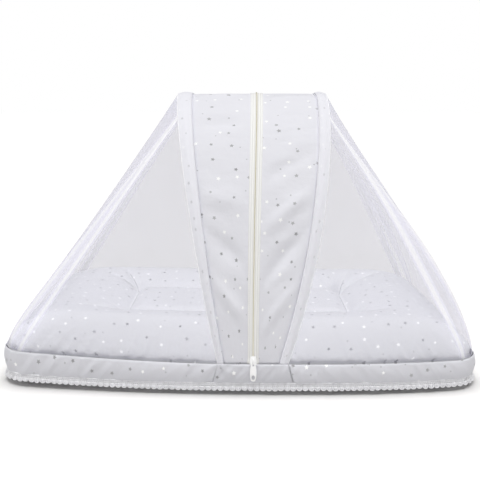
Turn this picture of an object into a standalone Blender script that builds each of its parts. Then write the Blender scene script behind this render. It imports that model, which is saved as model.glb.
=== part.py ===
"""A baby mosquito net canopy with its mattress, closed, as it stands on a floor.

A stuffed mattress lies in a sewn border band with a lace edge. Two hoops in cloth sleeves stand
over its middle and lean apart. Star cotton spans between them, with a zip down its middle, and
sheer net runs from each hoop down to the border round its end of the mattress.

Metres, +Z up, +X along the mattress, -Y at the front, origin at the bottom centre.
"""
import math

import bmesh
import bpy
from mathutils import Matrix, Vector

NAME = "mosquito_net_canopy"

# The base, seen from above: a rounded rectangle whose sides bow outwards
HALF_LENGTH = 0.5020
HALF_DEPTH = 0.287
CORNER_RADIUS = 0.050
END_BOW = 0.004
SIDE_BOW = 0.043
BOW_POWER = {"left": 2, "right": 3}     # the right half bows out more squarely
FRONT_SKEW = 0.010        # the front's left corner lies further back than its right one

# The zip's pull stands out in front, so the middle of the whole isn't quite the base's own middle
CENTRE_SHIFT = Vector((-0.0001, 0.00343, 0.0))

# Levels
LACE_BOTTOM = 0.0070
LACE_TOP = 0.0202
BAND_BOTTOM = 0.0215
BAND_TOP = 0.0635
FOOT = 0.0648             # where net, panels and sleeves are sewn to the band

# The mattress is thicker towards its left end: how much higher its seams lie there, from where
SEAM_RISE = 0.0125
RISE_START = 0.050
RISE_GROWTH = 1.1

# Cloth thicknesses
BAND_THICK = 0.002
COTTON_THICK = 0.002
NET_THICK = 0.001
SLEEVE_WALL = 0.001
LACE_THICK = 0.0012
TAPE_THICK = 0.0012

GAP = 0.0005              # between pieces that are sewn together
CLEAR = 0.0040            # between the mattress and the band round it
MERGE = 0.00001

# The border band
BAND_PUFF = 0.007         # how far the stuffing pushes the band out halfway up
BAND_FOLD = 0.0014
LONG_FOLD = 0.090         # the lengths of the band's two runs of folds
SHORT_FOLD = 0.062
BAND_PIECE_GAP = 0.0016   # the slit between two pieces of the band
FRONT_SEAM_FOOT = 0.012   # the slanting seams spread by this much towards the floor

# The lace edge
SCALLOP_PITCH = 0.0125
SCALLOP_DROP = 0.0050
LACE_FLARE = 0.0060

# The mattress
PAD_PUFF = 0.076          # from the band's top seam up to the rim's crown
RIM = 0.27                # the rim's share of the way from the edge to the middle
RIM_SLOPE = 1.25          # over 1 the rim rises less steeply than a quarter ellipse
RIM_CROWDING = 1.35       # grid lines stand closer together towards the edge
PAD_COLUMNS = 36
PAD_ROWS = 24
SINK = 0.019              # how far the sewn middle lies below the crown
SINK_WIDTH = 0.070        # the slope from the sewn middle up to the rim
TUFT_X = 0.258
TUFT_Y = 0.118
CREASE_DEPTH = 0.011
CREASE_WIDTH = 0.020
TUFT_DEPTH = 0.006
TUFT_WIDTH = 0.032
RADIAL_DEPTH = 0.012
RADIAL_WIDTH = 0.017

# Creases that leave the four tufts: which tuft, the heading from it in degrees, and the length
RADIAL_CREASES = (
    {"x": 1, "y": 1, "heading": 68, "length": 0.12},
    {"x": 1, "y": 1, "heading": 38, "length": 0.17},
    {"x": 1, "y": -1, "heading": -28, "length": 0.10},
    {"x": -1, "y": 1, "heading": 118, "length": 0.13},
    {"x": -1, "y": -1, "heading": 205, "length": 0.12},
    {"x": -1, "y": 1, "heading": 152, "length": 0.10},
)

# The mattress's side below the band's top seam: level, and how far in from the cloth's inner face
PAD_SIDE = (
    {"level": 0.0510, "inset": 0.0},
    {"level": 0.0370, "inset": 0.0},
    {"level": 0.0210, "inset": 0.0012},
    {"level": 0.0090, "inset": 0.0060},
    {"level": 0.0000, "inset": 0.0180},
)

# The arch, over the middle of the mattress
ZIP_PLANE = 0.033         # x of the plane halfway between the hoops
ARCH_RISE = 0.5480
ARCH_STEPS = 36
HOOP_START = 0.002        # the rod ends just inside its sleeve

# The sleeves: from the middle plane to the outer edge at the foot, how much further out it is at
# the top, how far the hoop bows out halfway up, and the width at foot and top with its growth
SLEEVES = {
    "left": {"side": -1, "spread": 0.076, "lean": 0.098, "bow": 0.0045,
             "foot": 0.0125, "top": 0.0340, "growth": 1.1},
    "right": {"side": 1, "spread": 0.069, "lean": 0.100, "bow": 0.0190,
              "foot": 0.0180, "top": 0.0245, "growth": 0.7},
}
SLEEVE_DEPTH = 0.0068
SLEEVE_LIFT = 0.0018
HOOP_RADIUS = 0.0020

# The zip
ZIP_TOP_SHIFT = 0.0088    # the zip runs a little to the right at the top
ZIP_FOOT_SHIFT = -0.0031
TAPE_INNER = 0.0034       # from the zip's line to a tape's edges
TAPE_FOOT_OUTER = 0.0108
TAPE_TOP_OUTER = 0.0140
TAPE_LIFT = 0.0022
TAPE_LAP = 0.006          # how far the cotton runs under a tape
COIL_RADIUS = 0.0026
COIL_LIFT = 0.0034
COIL_START = 0.012        # share of the arch that the slider covers at the foot
SLIDER_WIDTH = 0.0142
SLIDER_HEIGHT = 0.0168
SLIDER_DEPTH = 0.0045
SLIDER_LIFT = 0.0090
SLIDER_RAISE = 0.0008     # the slider stops this far above the band
SLIDER_TOP = 0.72         # its width at its top, as a share of its width at the foot
LUG_WIDTH = 0.0020
LUG_HEIGHT = 0.0022
LUG_BOTTOM = 0.0021       # above the slider's foot
LUG_REACH = 0.0032
PULL_LENGTH = 0.0442
PULL_WIDTH = 0.0132
PULL_NECK = 0.0104
PULL_THICK = 0.0016
PULL_HOLE_AT = -0.0022    # the hole that the lug passes through, from the lug to its middle
PULL_HOLE_WIDTH = 0.0023
PULL_HOLE_HEIGHT = 0.0042
PULL_SLOT_AT = 0.69       # the long hole: its middle, half width and half height, as shares
PULL_SLOT_WIDTH = 0.56
PULL_SLOT_HEIGHT = 0.118
PULL_SQUARENESS = 0.55    # under 1 the tongue's outline is squarer than an ellipse
PULL_STEPS = 24
PULL_TILT = math.radians(4)
PULL_FORWARD = 0.0004

# Folds of the cotton between the hoops: share of the arch where the fold crosses the middle of
# the panel, how far it climbs from zip to sleeve, its height, and its half width
PANEL_FOLDS = {
    "left": (
        {"at": 0.075, "climb": 0.050, "height": 0.0050, "width": 0.022},
        {"at": 0.140, "climb": 0.040, "height": -0.0045, "width": 0.024},
        {"at": 0.205, "climb": 0.020, "height": 0.0040, "width": 0.024},
        {"at": 0.345, "climb": -0.020, "height": -0.0035, "width": 0.028},
        {"at": 0.455, "climb": -0.015, "height": 0.0030, "width": 0.022},
        {"at": 0.690, "climb": 0.020, "height": -0.0040, "width": 0.028},
        {"at": 0.850, "climb": -0.040, "height": 0.0045, "width": 0.024},
    ),
    "right": (
        {"at": 0.065, "climb": 0.060, "height": 0.0050, "width": 0.022},
        {"at": 0.130, "climb": 0.070, "height": -0.0050, "width": 0.024},
        {"at": 0.190, "climb": 0.060, "height": 0.0050, "width": 0.022},
        {"at": 0.260, "climb": 0.050, "height": -0.0035, "width": 0.026},
        {"at": 0.440, "climb": 0.020, "height": 0.0030, "width": 0.022},
        {"at": 0.720, "climb": -0.030, "height": 0.0040, "width": 0.028},
        {"at": 0.880, "climb": -0.050, "height": -0.0045, "width": 0.024},
    ),
}
PANEL_SAG = 0.0005        # the cotton's dip between hoop and zip
PANEL_COLUMNS = 4         # from the sleeve to the zip tape; one more runs under the tape
PANEL_FADE = 0.04         # the folds fade out over this share of the arch at each foot
ARCH_LENGTH = 1.42

# The net: its two ridges run from near the hoop's top to the corners of the base
NET_COLUMNS = 26
NET_ROWS = 9
RIDGE_COLUMN = 8
FRONT_RIDGE = 0.360       # where the ridges leave the hoop, as shares of the arch
BACK_RIDGE = 0.620
RIDGE_HEIGHT = 0.007
RIDGE_WIDTH = 0.6         # in columns
NET_SEAM_GAP = 0.0011     # between the net's edge and the sleeve
NET_INSET = 0.0004

# How far the mattress's rim pushes each net out, at its end and at its long sides, and how far
# the net stands out halfway up its end
NETS = {
    "left": {"end": 0.010, "long": 0.016, "belly": 0.0065},
    "right": {"end": 0.006, "long": 0.014, "belly": 0.0440},
}
BELLY_LEAN = 0.75         # draws the belly's fullest part below the middle
NET_CROWDING = 1.7        # rows stand closer together towards the border
CORNER_CROWDING = 1.5     # and columns towards the corners
NET_ROOM = 8              # the push grows to its full size over one part in this many of the net
NET_PUFF_HEIGHT = 0.12    # where the push is greatest, as a share of the way up
NET_SAG = 0.010           # dip of the long sides between ridge and hoop

COLOURS = {
    "cotton": {"colour": (0.76, 0.76, 0.79, 1.0), "roughness": 0.90, "metallic": 0.0},
    "net": {"colour": (0.90, 0.90, 0.96, 1.0), "roughness": 0.80, "metallic": 0.0},
    "sleeve": {"colour": (0.86, 0.86, 0.90, 1.0), "roughness": 0.85, "metallic": 0.0},
    "lace": {"colour": (0.86, 0.86, 0.92, 1.0), "roughness": 0.85, "metallic": 0.0},
    "hoop": {"colour": (0.90, 0.90, 0.90, 1.0), "roughness": 0.45, "metallic": 0.0},
    "zip_tape": {"colour": (0.93, 0.93, 0.92, 1.0), "roughness": 0.80, "metallic": 0.0},
    "zip_coil": {"colour": (0.85, 0.80, 0.66, 1.0), "roughness": 0.50, "metallic": 0.0},
    "zip_metal": {"colour": (0.92, 0.92, 0.92, 1.0), "roughness": 0.30, "metallic": 0.0},
}


# ---------------------------------------------------------------- scene and materials

def clear_scene():
    for item in list(bpy.data.objects):
        bpy.data.objects.remove(item, do_unlink=True)


def make_collection():
    collection = bpy.data.collections.new(NAME)
    bpy.context.scene.collection.children.link(collection)
    return collection


def make_material(name):
    look = COLOURS[name]
    material = bpy.data.materials.new(name)
    material.use_nodes = True
    shader = material.node_tree.nodes["Principled BSDF"]
    shader.inputs["Base Color"].default_value = look["colour"]
    shader.inputs["Roughness"].default_value = look["roughness"]
    shader.inputs["Metallic"].default_value = look["metallic"]
    return material


def make_middle(collection):
    """An empty that carries every piece and puts the origin under the middle of the whole."""
    middle = bpy.data.objects.new(NAME, None)
    middle.location = CENTRE_SHIFT
    collection.objects.link(middle)
    return middle


def add_object(name, data, material, collection):
    item = bpy.data.objects.new(name, data)
    data.materials.append(material)
    collection.objects.link(item)
    item.parent = collection.objects[NAME]
    return item


# ---------------------------------------------------------------- guide curves

STRAIGHT_X = HALF_LENGTH - CORNER_RADIUS
STRAIGHT_Y = HALF_DEPTH - CORNER_RADIUS
ARC = CORNER_RADIUS * math.pi / 2
QUARTER = STRAIGHT_X + ARC + STRAIGHT_Y
PERIMETER = 4 * QUARTER


def bow(x, y):
    """Move a point of the rounded rectangle out to where the bowed sides take it."""
    across = x / HALF_LENGTH
    along = y / HALF_DEPTH
    power = BOW_POWER["right" if x > 0 else "left"]
    bowed_x = x + END_BOW * across * (1 - min(1.0, along * along))
    bowed_y = y + SIDE_BOW * along * (1 - min(1.0, abs(across) ** power))
    if y < 0:
        bowed_y += FRONT_SKEW * across * along
    return Vector((bowed_x, bowed_y, 0.0))


def flat_outline(share, inset):
    """x and y on the rounded rectangle; share runs from 0 at the middle of the front to 1, by
    way of the right end, the back and the left end."""
    quarter, part = divmod(share % 1.0 * 4, 1)
    distance = (part if quarter % 2 == 0 else 1 - part) * QUARTER
    radius = CORNER_RADIUS - inset
    if distance <= STRAIGHT_X:
        x, y = distance, HALF_DEPTH - inset
    elif distance <= STRAIGHT_X + ARC:
        turn = (distance - STRAIGHT_X) / CORNER_RADIUS
        x = STRAIGHT_X + radius * math.sin(turn)
        y = STRAIGHT_Y + radius * math.cos(turn)
    else:
        x, y = HALF_LENGTH - inset, QUARTER - distance
    x *= 1 if quarter < 2 else -1
    y *= -1 if quarter in (0, 3) else 1
    return x, y


def seam_rise(x):
    """How much higher the band's top seam lies at x than at the middle."""
    run = max(0.0, -x - RISE_START) / (HALF_LENGTH - RISE_START)
    return SEAM_RISE * run ** RISE_GROWTH


def outline(share, inset, level):
    """A point of the base's outline, moved in by inset, at a level."""
    point = bow(*flat_outline(share, inset))
    height = max(0.0, level - LACE_TOP) / (FOOT - LACE_TOP)
    point.z = level + seam_rise(point.x) * height
    return point


def outward(share):
    """The level direction that points away from the base, square to its outline."""
    return (outline(share, 0.0, 0.0) - outline(share, 0.02, 0.0)).normalized()


def side_y(x, back):
    """y of the front or back side of the base at x."""
    return bow(x, HALF_DEPTH if back else -HALF_DEPTH).y


def arch(along, x, lift=0.0):
    """A point of the arch at x; along runs from 0 at the front foot to 1 at the back foot, and
    lift moves the point outwards, square to the arch."""
    angle = math.pi * along
    reach = abs(side_y(x, along > 0.5)) - NET_INSET
    normal = Vector((0.0, -math.cos(angle) / reach, math.sin(angle) / ARCH_RISE)).normalized()
    point = Vector((x, -reach * math.cos(angle), FOOT + ARCH_RISE * math.sin(angle)))
    return point + normal * lift


def height_share(along):
    return math.sin(math.pi * along)


def sleeve_width(sleeve, along):
    return sleeve["foot"] + (sleeve["top"] - sleeve["foot"]) * height_share(along) ** sleeve["growth"]


def sleeve_outer_x(sleeve, along):
    high = height_share(along)
    spread = sleeve["spread"] + sleeve["lean"] * high + sleeve["bow"] * 4 * high * (1 - high)
    return ZIP_PLANE + sleeve["side"] * spread


def sleeve_inner_x(sleeve, along):
    return sleeve_outer_x(sleeve, along) - sleeve["side"] * sleeve_width(sleeve, along)


def zip_x(along):
    high = height_share(along)
    return ZIP_PLANE + ZIP_FOOT_SHIFT + (ZIP_TOP_SHIFT - ZIP_FOOT_SHIFT) * high ** 2


def tape_outer(along):
    """From the zip's line to a tape's outer edge."""
    return TAPE_FOOT_OUTER + (TAPE_TOP_OUTER - TAPE_FOOT_OUTER) * height_share(along)


# ---------------------------------------------------------------- makers

def sheet(name, columns, rows, place, thickness, material, collection, after=None):
    """A sheet of cloth: a grid whose points go where place(u, v) says, made thick by Solidify."""
    mesh = bpy.data.meshes.new(name)
    bm = bmesh.new()
    bmesh.ops.create_grid(bm, x_segments=columns, y_segments=rows, size=0.5)
    for vert in bm.verts:
        vert.co = place(vert.co.x + 0.5, vert.co.y + 0.5)
    bmesh.ops.remove_doubles(bm, verts=bm.verts, dist=MERGE)
    if after:
        after(bm)
    bm.to_mesh(mesh)
    bm.free()
    mesh.shade_smooth()
    item = add_object(name, mesh, material, collection)
    solidify = item.modifiers.new("thickness", "SOLIDIFY")
    solidify.thickness = thickness
    solidify.offset = 0.0
    return item


def blend(a, b, share):
    return a + (b - a) * share


def hump(distance, width):
    """1 on a line, falling to 0 about two widths from it."""
    return math.exp(-(distance / width) ** 2)


# ---------------------------------------------------------------- the mattress

def pad_share(u, v):
    """Where the outline is met from a grid point, with u and v from -1 to 1."""
    ring = max(abs(u), abs(v))
    long_reach = (STRAIGHT_X + ARC / 2) / PERIMETER
    short_reach = (STRAIGHT_Y + ARC / 2) / PERIMETER
    if ring == 0:
        return 0.0, 0.0
    if abs(v) >= abs(u):
        share = u / ring * long_reach if v < 0 else 0.5 - u / ring * long_reach
    else:
        share = 0.25 + v / ring * short_reach if u > 0 else 0.75 - v / ring * short_reach
    return ring, share


def band_puff(level):
    """How far the stuffing pushes the border out at a level."""
    up = (level - BAND_BOTTOM) / (BAND_TOP - BAND_BOTTOM)
    return BAND_PUFF * max(0.0, math.sin(math.pi * min(max(up, 0.0), 1.0)))


def pad_inset(level, extra=0.0):
    return BAND_THICK + CLEAR - band_puff(level) + extra


def radial_depth(x, y):
    """How deep the creases that leave the tufts are at a point."""
    depth = 0.0
    for crease in RADIAL_CREASES:
        start = Vector((crease["x"] * TUFT_X, crease["y"] * TUFT_Y))
        turn = math.radians(crease["heading"])
        way = Vector((math.cos(turn), math.sin(turn)))
        offset = Vector((x, y)) - start
        run = min(max(offset.dot(way), 0.0), crease["length"])
        fade = 1 - run / crease["length"]
        depth += RADIAL_DEPTH * fade * hump((offset - way * run).length, RADIAL_WIDTH)
    return depth


def sewn_depth(x, y):
    """How far the sewn middle, its seams and its tufts lie below the rim's crown."""
    gap_x = abs(x) - TUFT_X
    gap_y = abs(y) - TUFT_Y
    outside = math.hypot(max(gap_x, 0.0), max(gap_y, 0.0))
    seam = outside if max(gap_x, gap_y) > 0 else -max(gap_x, gap_y)
    middle = hump(outside, SINK_WIDTH)
    tuft = hump(math.hypot(gap_x, gap_y), TUFT_WIDTH)
    return SINK * middle + CREASE_DEPTH * hump(seam, CREASE_WIDTH) + TUFT_DEPTH * tuft


def pad_point(u, v):
    ring, share = pad_share(u, v)
    x, y = flat_outline(share, pad_inset(BAND_TOP))
    point = bow(x * ring, y * ring)
    rise = min((1 - ring) / RIM, 1.0)
    rim = math.sqrt(1 - (1 - rise) ** 2) ** RIM_SLOPE
    low = sewn_depth(point.x, point.y) + radial_depth(point.x, point.y)
    point.z = FOOT + seam_rise(point.x) + PAD_PUFF * rim - low * rise
    return point


def spread_to_rim(value):
    """Grid lines stand closer together towards the edge, where the rim curves most."""
    return math.copysign(1 - (1 - abs(value)) ** RIM_CROWDING, value)


def make_pad(material, collection):
    """The stuffed mattress: its top from a grid, its side from rings that go down to the floor."""
    mesh = bpy.data.meshes.new("mattress_pad")
    bm = bmesh.new()
    bmesh.ops.create_grid(bm, x_segments=PAD_COLUMNS, y_segments=PAD_ROWS, size=1.0)
    shares = {}
    for vert in bm.verts:
        u, v = spread_to_rim(vert.co.x), spread_to_rim(vert.co.y)
        shares[vert] = pad_share(u, v)[1]
        vert.co = pad_point(u, v)
    edge = [item for item in bm.edges if item.is_boundary]
    for row in PAD_SIDE:
        grown = bmesh.ops.extrude_edge_only(bm, edges=edge)["geom"]
        corners = {vert for item in edge for vert in item.verts}
        edge = [item for item in grown if isinstance(item, bmesh.types.BMEdge)]
        lower = {}
        for vert in (item for item in grown if isinstance(item, bmesh.types.BMVert)):
            upper = next(link.other_vert(vert) for link in vert.link_edges
                         if link.other_vert(vert) in corners)
            lower[vert] = shares[upper]
        for vert, share in lower.items():
            vert.co = outline(share, pad_inset(row["level"], row["inset"]), row["level"])
        shares.update(lower)
    bmesh.ops.contextual_create(bm, geom=edge)
    bmesh.ops.recalc_face_normals(bm, faces=bm.faces)
    bm.to_mesh(mesh)
    bm.free()
    mesh.shade_smooth()
    return add_object("mattress_pad", mesh, material, collection)


# ---------------------------------------------------------------- border band and lace

def band_fold(share, up):
    """The band's slanting folds, two runs of waves that drift against each other."""
    turns = share * PERIMETER * 2 * math.pi
    long_wave = math.sin(turns / LONG_FOLD + 1.6 * up)
    short_wave = math.sin(turns / SHORT_FOLD - 2.2 * up + 0.8)
    return BAND_FOLD * math.sin(math.pi * up) * (0.6 * long_wave + 0.4 * short_wave)


def make_band(name, start, end, start_slant, end_slant, columns, material, collection):
    """A piece of the border band from one share of the outline to another. A slant moves that
    end along by so many metres at the band's foot."""
    def place(u, v):
        down = 1 - v
        first = start + start_slant * down / PERIMETER
        last = end + end_slant * down / PERIMETER
        share = blend(first, last, u)
        level = blend(BAND_BOTTOM, BAND_TOP, v)
        push = band_puff(level) + band_fold(share, v)
        return outline(share, BAND_THICK / 2 - push, level)
    return sheet(name, columns, 3, place, BAND_THICK, material, collection)


def make_bands(material, collection):
    half_slit = BAND_PIECE_GAP / 2 / PERIMETER
    left = sleeve_outer_x(SLEEVES["left"], 0.0) / PERIMETER
    right = sleeve_outer_x(SLEEVES["right"], 0.0) / PERIMETER
    back_right = 0.5 - right
    back_left = 0.5 - left
    slant = FRONT_SEAM_FOOT
    make_band("border_front_centre", left + half_slit, right - half_slit, -slant, slant, 6,
              material, collection)
    make_band("border_right", right + half_slit, back_right - half_slit, slant, -slant, 52,
              material, collection)
    make_band("border_back_centre", back_right + half_slit, back_left - half_slit, -slant, slant,
              6, material, collection)
    make_band("border_left", back_left + half_slit, 1 + left - half_slit, slant, -slant, 52,
              material, collection)


def make_lace(material, collection):
    """The lace edging: one pointed scallop after another, all round."""
    scallops = round(PERIMETER / SCALLOP_PITCH)

    def place(u, v):
        step = round(u * 2 * scallops)
        drop = SCALLOP_DROP * (1 - step % 2)
        level = LACE_TOP if v > 0.5 else LACE_BOTTOM + drop
        flare = 0.0 if v > 0.5 else LACE_FLARE
        return outline(step / (2 * scallops), LACE_THICK / 2 - flare, level)

    def drop_spare_points(bm):
        spare = [vert for vert in bm.verts
                 if vert.co.z > LACE_TOP - GAP
                 and any(abs(link.other_vert(vert).co.z - LACE_BOTTOM) < MERGE
                         for link in vert.link_edges)]
        bmesh.ops.dissolve_verts(bm, verts=spare)

    return sheet("lace_trim", 2 * scallops, 1, place, LACE_THICK, material, collection,
                 after=drop_spare_points)


# ---------------------------------------------------------------- hoops, sleeves, panels

def make_sleeve(side_name, material, collection):
    """A cloth tunnel round a hoop: six-sided, flat at its edges and full in its middle."""
    sleeve = SLEEVES[side_name]
    section = ((-0.5, 0.0), (-0.22, -0.5), (0.22, -0.5), (0.5, 0.0), (0.22, 0.5), (-0.22, 0.5))
    sides = len(section)

    def place(u, v):
        across, out = section[round(u * sides) % sides]
        width = sleeve_width(sleeve, v)
        middle = sleeve_outer_x(sleeve, v) - sleeve["side"] * width / 2
        return arch(v, middle + across * width, SLEEVE_LIFT + out * SLEEVE_DEPTH)

    item = sheet("sleeve_" + side_name, sides, ARCH_STEPS, place, SLEEVE_WALL, material, collection)
    item.modifiers["thickness"].offset = -1.0
    return item


def make_rod(name, points, radius, material, collection):
    curve = bpy.data.curves.new(name, "CURVE")
    curve.dimensions = "3D"
    curve.bevel_depth = radius
    curve.bevel_resolution = 2
    curve.use_fill_caps = True
    spline = curve.splines.new("POLY")
    spline.points.add(len(points) - 1)
    for slot, point in zip(spline.points, points):
        slot.co = (*point, 1.0)
    return add_object(name, curve, material, collection)


def make_hoop(side_name, material, collection):
    sleeve = SLEEVES[side_name]
    points = []
    for step in range(ARCH_STEPS + 1):
        along = min(max(step / ARCH_STEPS, HOOP_START), 1 - HOOP_START)
        middle = sleeve_outer_x(sleeve, along) - sleeve["side"] * sleeve_width(sleeve, along) / 2
        points.append(arch(along, middle, SLEEVE_LIFT))
    item = make_rod("hoop_" + side_name, points, HOOP_RADIUS, material, collection)
    item.data.bevel_resolution = 1
    return item


def make_panel(side_name, material, collection):
    """Star cotton between a sleeve and the zip, from the front foot over the top to the back."""
    sleeve = SLEEVES[side_name]
    side = sleeve["side"]
    columns = PANEL_COLUMNS + 1

    def place(u, v):
        column = round(u * columns)
        across = min(column / PANEL_COLUMNS, 1.0)
        sleeve_edge = sleeve_inner_x(sleeve, v) - side * 2 * GAP
        tape_edge = zip_x(v) + side * (tape_outer(v) + GAP)
        x = blend(sleeve_edge, tape_edge, across)
        if column == columns:
            x = zip_x(v) + side * (tape_outer(v) - TAPE_LAP)
        window = math.sin(math.pi * across)
        ends = min(1.0, v / PANEL_FADE, (1 - v) / PANEL_FADE)
        lift = -PANEL_SAG * window * height_share(v)
        for fold in PANEL_FOLDS[side_name]:
            crossing = fold["at"] + fold["climb"] * (0.5 - across)
            crest = hump((v - crossing) * ARCH_LENGTH, fold["width"])
            lift += fold["height"] * window * ends * crest
        return arch(v, x, lift)

    return sheet("panel_" + side_name, columns, ARCH_STEPS, place, COTTON_THICK, material,
                 collection)


# ---------------------------------------------------------------- net

def hoop_share(u):
    """Where on the arch a net's thread ends that leaves the base at u, from 0 to 1."""
    ridge = RIDGE_COLUMN / NET_COLUMNS
    if u < ridge:
        return FRONT_RIDGE * u / ridge
    if u > 1 - ridge:
        return 1 - (1 - BACK_RIDGE) * (1 - u) / ridge
    return blend(FRONT_RIDGE, BACK_RIDGE, (u - ridge) / (1 - 2 * ridge))


def net_point(side_name, u, v):
    """A point of a net: u runs round the base from the front foot to the back foot, and v from
    the border up to the sleeve."""
    sleeve = SLEEVES[side_name]
    net = NETS[side_name]
    side = sleeve["side"]
    ridge = RIDGE_COLUMN / NET_COLUMNS
    foot_share = (sleeve_outer_x(sleeve, 0.0) + side * NET_SEAM_GAP) / PERIMETER
    back_share = 0.5 - foot_share if side > 0 else -0.5 - foot_share
    share = blend(foot_share, back_share, u)
    low = outline(share, NET_INSET, FOOT)
    if u in (0.0, 1.0):
        return low
    along = hoop_share(u)
    high = arch(along, sleeve_outer_x(sleeve, along) + side * NET_SEAM_GAP)
    facing = outward(share)
    at_end = facing.x ** 2
    rise = v / NET_PUFF_HEIGHT
    middle = math.sin(math.pi * v)
    push = blend(net["long"], net["end"], at_end) * rise * math.exp(1 - rise)
    push += net["belly"] * at_end * middle * (1 - v) ** BELLY_LEAN
    push -= NET_SAG * (1 - at_end) * middle * math.sin(math.pi * min(u, 1 - u) / ridge)
    crest = hump((min(u, 1 - u) - ridge) * NET_COLUMNS, RIDGE_WIDTH)
    push += RIDGE_HEIGHT * crest * middle
    room = min(1.0, NET_ROOM * u, NET_ROOM * (1 - u))
    return blend(low, high, v) + facing * push * room


def make_net(side_name, material, collection):
    """Sheer net from the sleeve's outer edge down to the border, round one end of the base. Its
    threads stand closer together at the corners."""
    ridge = RIDGE_COLUMN / NET_COLUMNS

    def crowd(u):
        if u <= ridge:
            return ridge * (1 - (1 - u / ridge) ** CORNER_CROWDING)
        if u >= 1 - ridge:
            return 1 - crowd(1 - u)
        part = (u - ridge) / (1 - 2 * ridge)
        return blend(ridge, 1 - ridge, (1 - math.cos(math.pi * part)) / 2)

    def place(u, v):
        return net_point(side_name, crowd(u), v ** NET_CROWDING)

    return sheet("net_" + side_name, NET_COLUMNS, NET_ROWS, place, NET_THICK, material, collection)


# ---------------------------------------------------------------- zip

def make_tape(side_name, material, collection):
    side = SLEEVES[side_name]["side"]

    def place(u, v):
        return arch(v, zip_x(v) + side * blend(tape_outer(v), TAPE_INNER, u), TAPE_LIFT)

    return sheet("zip_tape_" + side_name, 1, ARCH_STEPS, place, TAPE_THICK, material, collection)


def make_coil(material, collection):
    points = []
    for step in range(ARCH_STEPS + 1):
        along = blend(COIL_START, 1.0, step / ARCH_STEPS)
        points.append(arch(along, zip_x(along), COIL_LIFT))
    item = make_rod("zip_coil", points, COIL_RADIUS, material, collection)
    item.data.bevel_resolution = 0
    return item


def make_slider(material, collection):
    """The slider: a body that narrows to its top, and a lug on its face that carries the pull."""
    mesh = bpy.data.meshes.new("zip_slider")
    bm = bmesh.new()
    size = Matrix.Diagonal((SLIDER_WIDTH, SLIDER_DEPTH, SLIDER_HEIGHT, 1.0))
    bmesh.ops.create_cube(bm, size=1.0, matrix=size)
    for vert in bm.verts:
        if vert.co.z > 0:
            vert.co.x *= SLIDER_TOP
    front = min(bm.faces, key=lambda face: face.calc_center_median().y)
    bmesh.ops.inset_region(bm, faces=[front], thickness=LUG_WIDTH)
    for vert in front.verts:
        vert.co.x = math.copysign(LUG_WIDTH / 2, vert.co.x)
        vert.co.z = -SLIDER_HEIGHT / 2 + LUG_BOTTOM + (LUG_HEIGHT if vert.co.z > 0 else 0.0)
    lug = bmesh.ops.extrude_discrete_faces(bm, faces=[front])["faces"]
    bmesh.ops.translate(bm, verts=lug[0].verts, vec=(0.0, -LUG_REACH, 0.0))
    bmesh.ops.recalc_face_normals(bm, faces=bm.faces)
    bm.to_mesh(mesh)
    bm.free()
    item = add_object("zip_slider", mesh, material, collection)
    foot = arch(0.0, zip_x(0.0), SLIDER_LIFT)
    item.location = foot + Vector((0.0, 0.0, SLIDER_RAISE + SLIDER_HEIGHT / 2))
    return item


def closed_spline(curve, points):
    spline = curve.splines.new("POLY")
    spline.use_cyclic_u = True
    spline.points.add(len(points) - 1)
    for slot, (x, y) in zip(spline.points, points):
        slot.co = (x, y, 0.0, 1.0)


def oval(centre_y, half_width, half_height, steps):
    turns = [2 * math.pi * step / steps for step in range(steps)]
    return [(half_width * math.cos(turn), centre_y + half_height * math.sin(turn)) for turn in turns]


def make_pull(material, collection):
    """The pull tab: a flat tongue with a narrow hole at its neck and a wider one at its foot."""
    curve = bpy.data.curves.new("zip_pull", "CURVE")
    curve.dimensions = "2D"
    curve.fill_mode = "BOTH"
    curve.extrude = PULL_THICK / 2
    tongue = []
    neck = PULL_NECK / 2
    belly = PULL_WIDTH / 2
    for step in range(PULL_STEPS):
        turn = 2 * math.pi * step / PULL_STEPS
        down = (1 - math.sin(turn)) / 2
        half = blend(neck, belly, min(1.0, 1.6 * down))
        side = math.copysign(abs(math.cos(turn)) ** PULL_SQUARENESS, math.cos(turn))
        tongue.append((half * side, neck - PULL_LENGTH * down))
    closed_spline(curve, tongue)
    closed_spline(curve, oval(PULL_HOLE_AT, PULL_HOLE_WIDTH, PULL_HOLE_HEIGHT, 12))
    closed_spline(curve, oval(-PULL_LENGTH * PULL_SLOT_AT, belly * PULL_SLOT_WIDTH,
                              PULL_LENGTH * PULL_SLOT_HEIGHT, 12))
    item = add_object("zip_pull", curve, material, collection)
    foot = arch(0.0, zip_x(0.0), SLIDER_LIFT + SLIDER_DEPTH / 2 + GAP + PULL_THICK / 2)
    lug_level = SLIDER_RAISE + LUG_BOTTOM + LUG_HEIGHT / 2
    item.location = foot + Vector((0.0, -PULL_FORWARD, lug_level))
    item.rotation_euler = (math.radians(90) + PULL_TILT, 0.0, 0.0)
    return item


# ---------------------------------------------------------------- the whole thing

def main():
    clear_scene()
    collection = make_collection()
    make_middle(collection)
    materials = {name: make_material(name) for name in COLOURS}
    make_pad(materials["cotton"], collection)
    make_bands(materials["cotton"], collection)
    make_lace(materials["lace"], collection)
    for side_name in SLEEVES:
        make_net(side_name, materials["net"], collection)
        make_sleeve(side_name, materials["sleeve"], collection)
        make_hoop(side_name, materials["hoop"], collection)
        make_panel(side_name, materials["cotton"], collection)
        make_tape(side_name, materials["zip_tape"], collection)
    make_coil(materials["zip_coil"], collection)
    make_slider(materials["zip_metal"], collection)
    make_pull(materials["zip_metal"], collection)


main()
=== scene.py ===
"""The looks of a baby mosquito net canopy with its mattress: star cotton, sheer net, lace, zip.

Metres, +Z up, the front at -Y. The guide curves repeat the part's own sizes, so each piece lies
where its solid does.
"""
import math

import bmesh
import bpy
from mathutils import Matrix, Vector, noise
from mathutils.bvhtree import BVHTree


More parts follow.
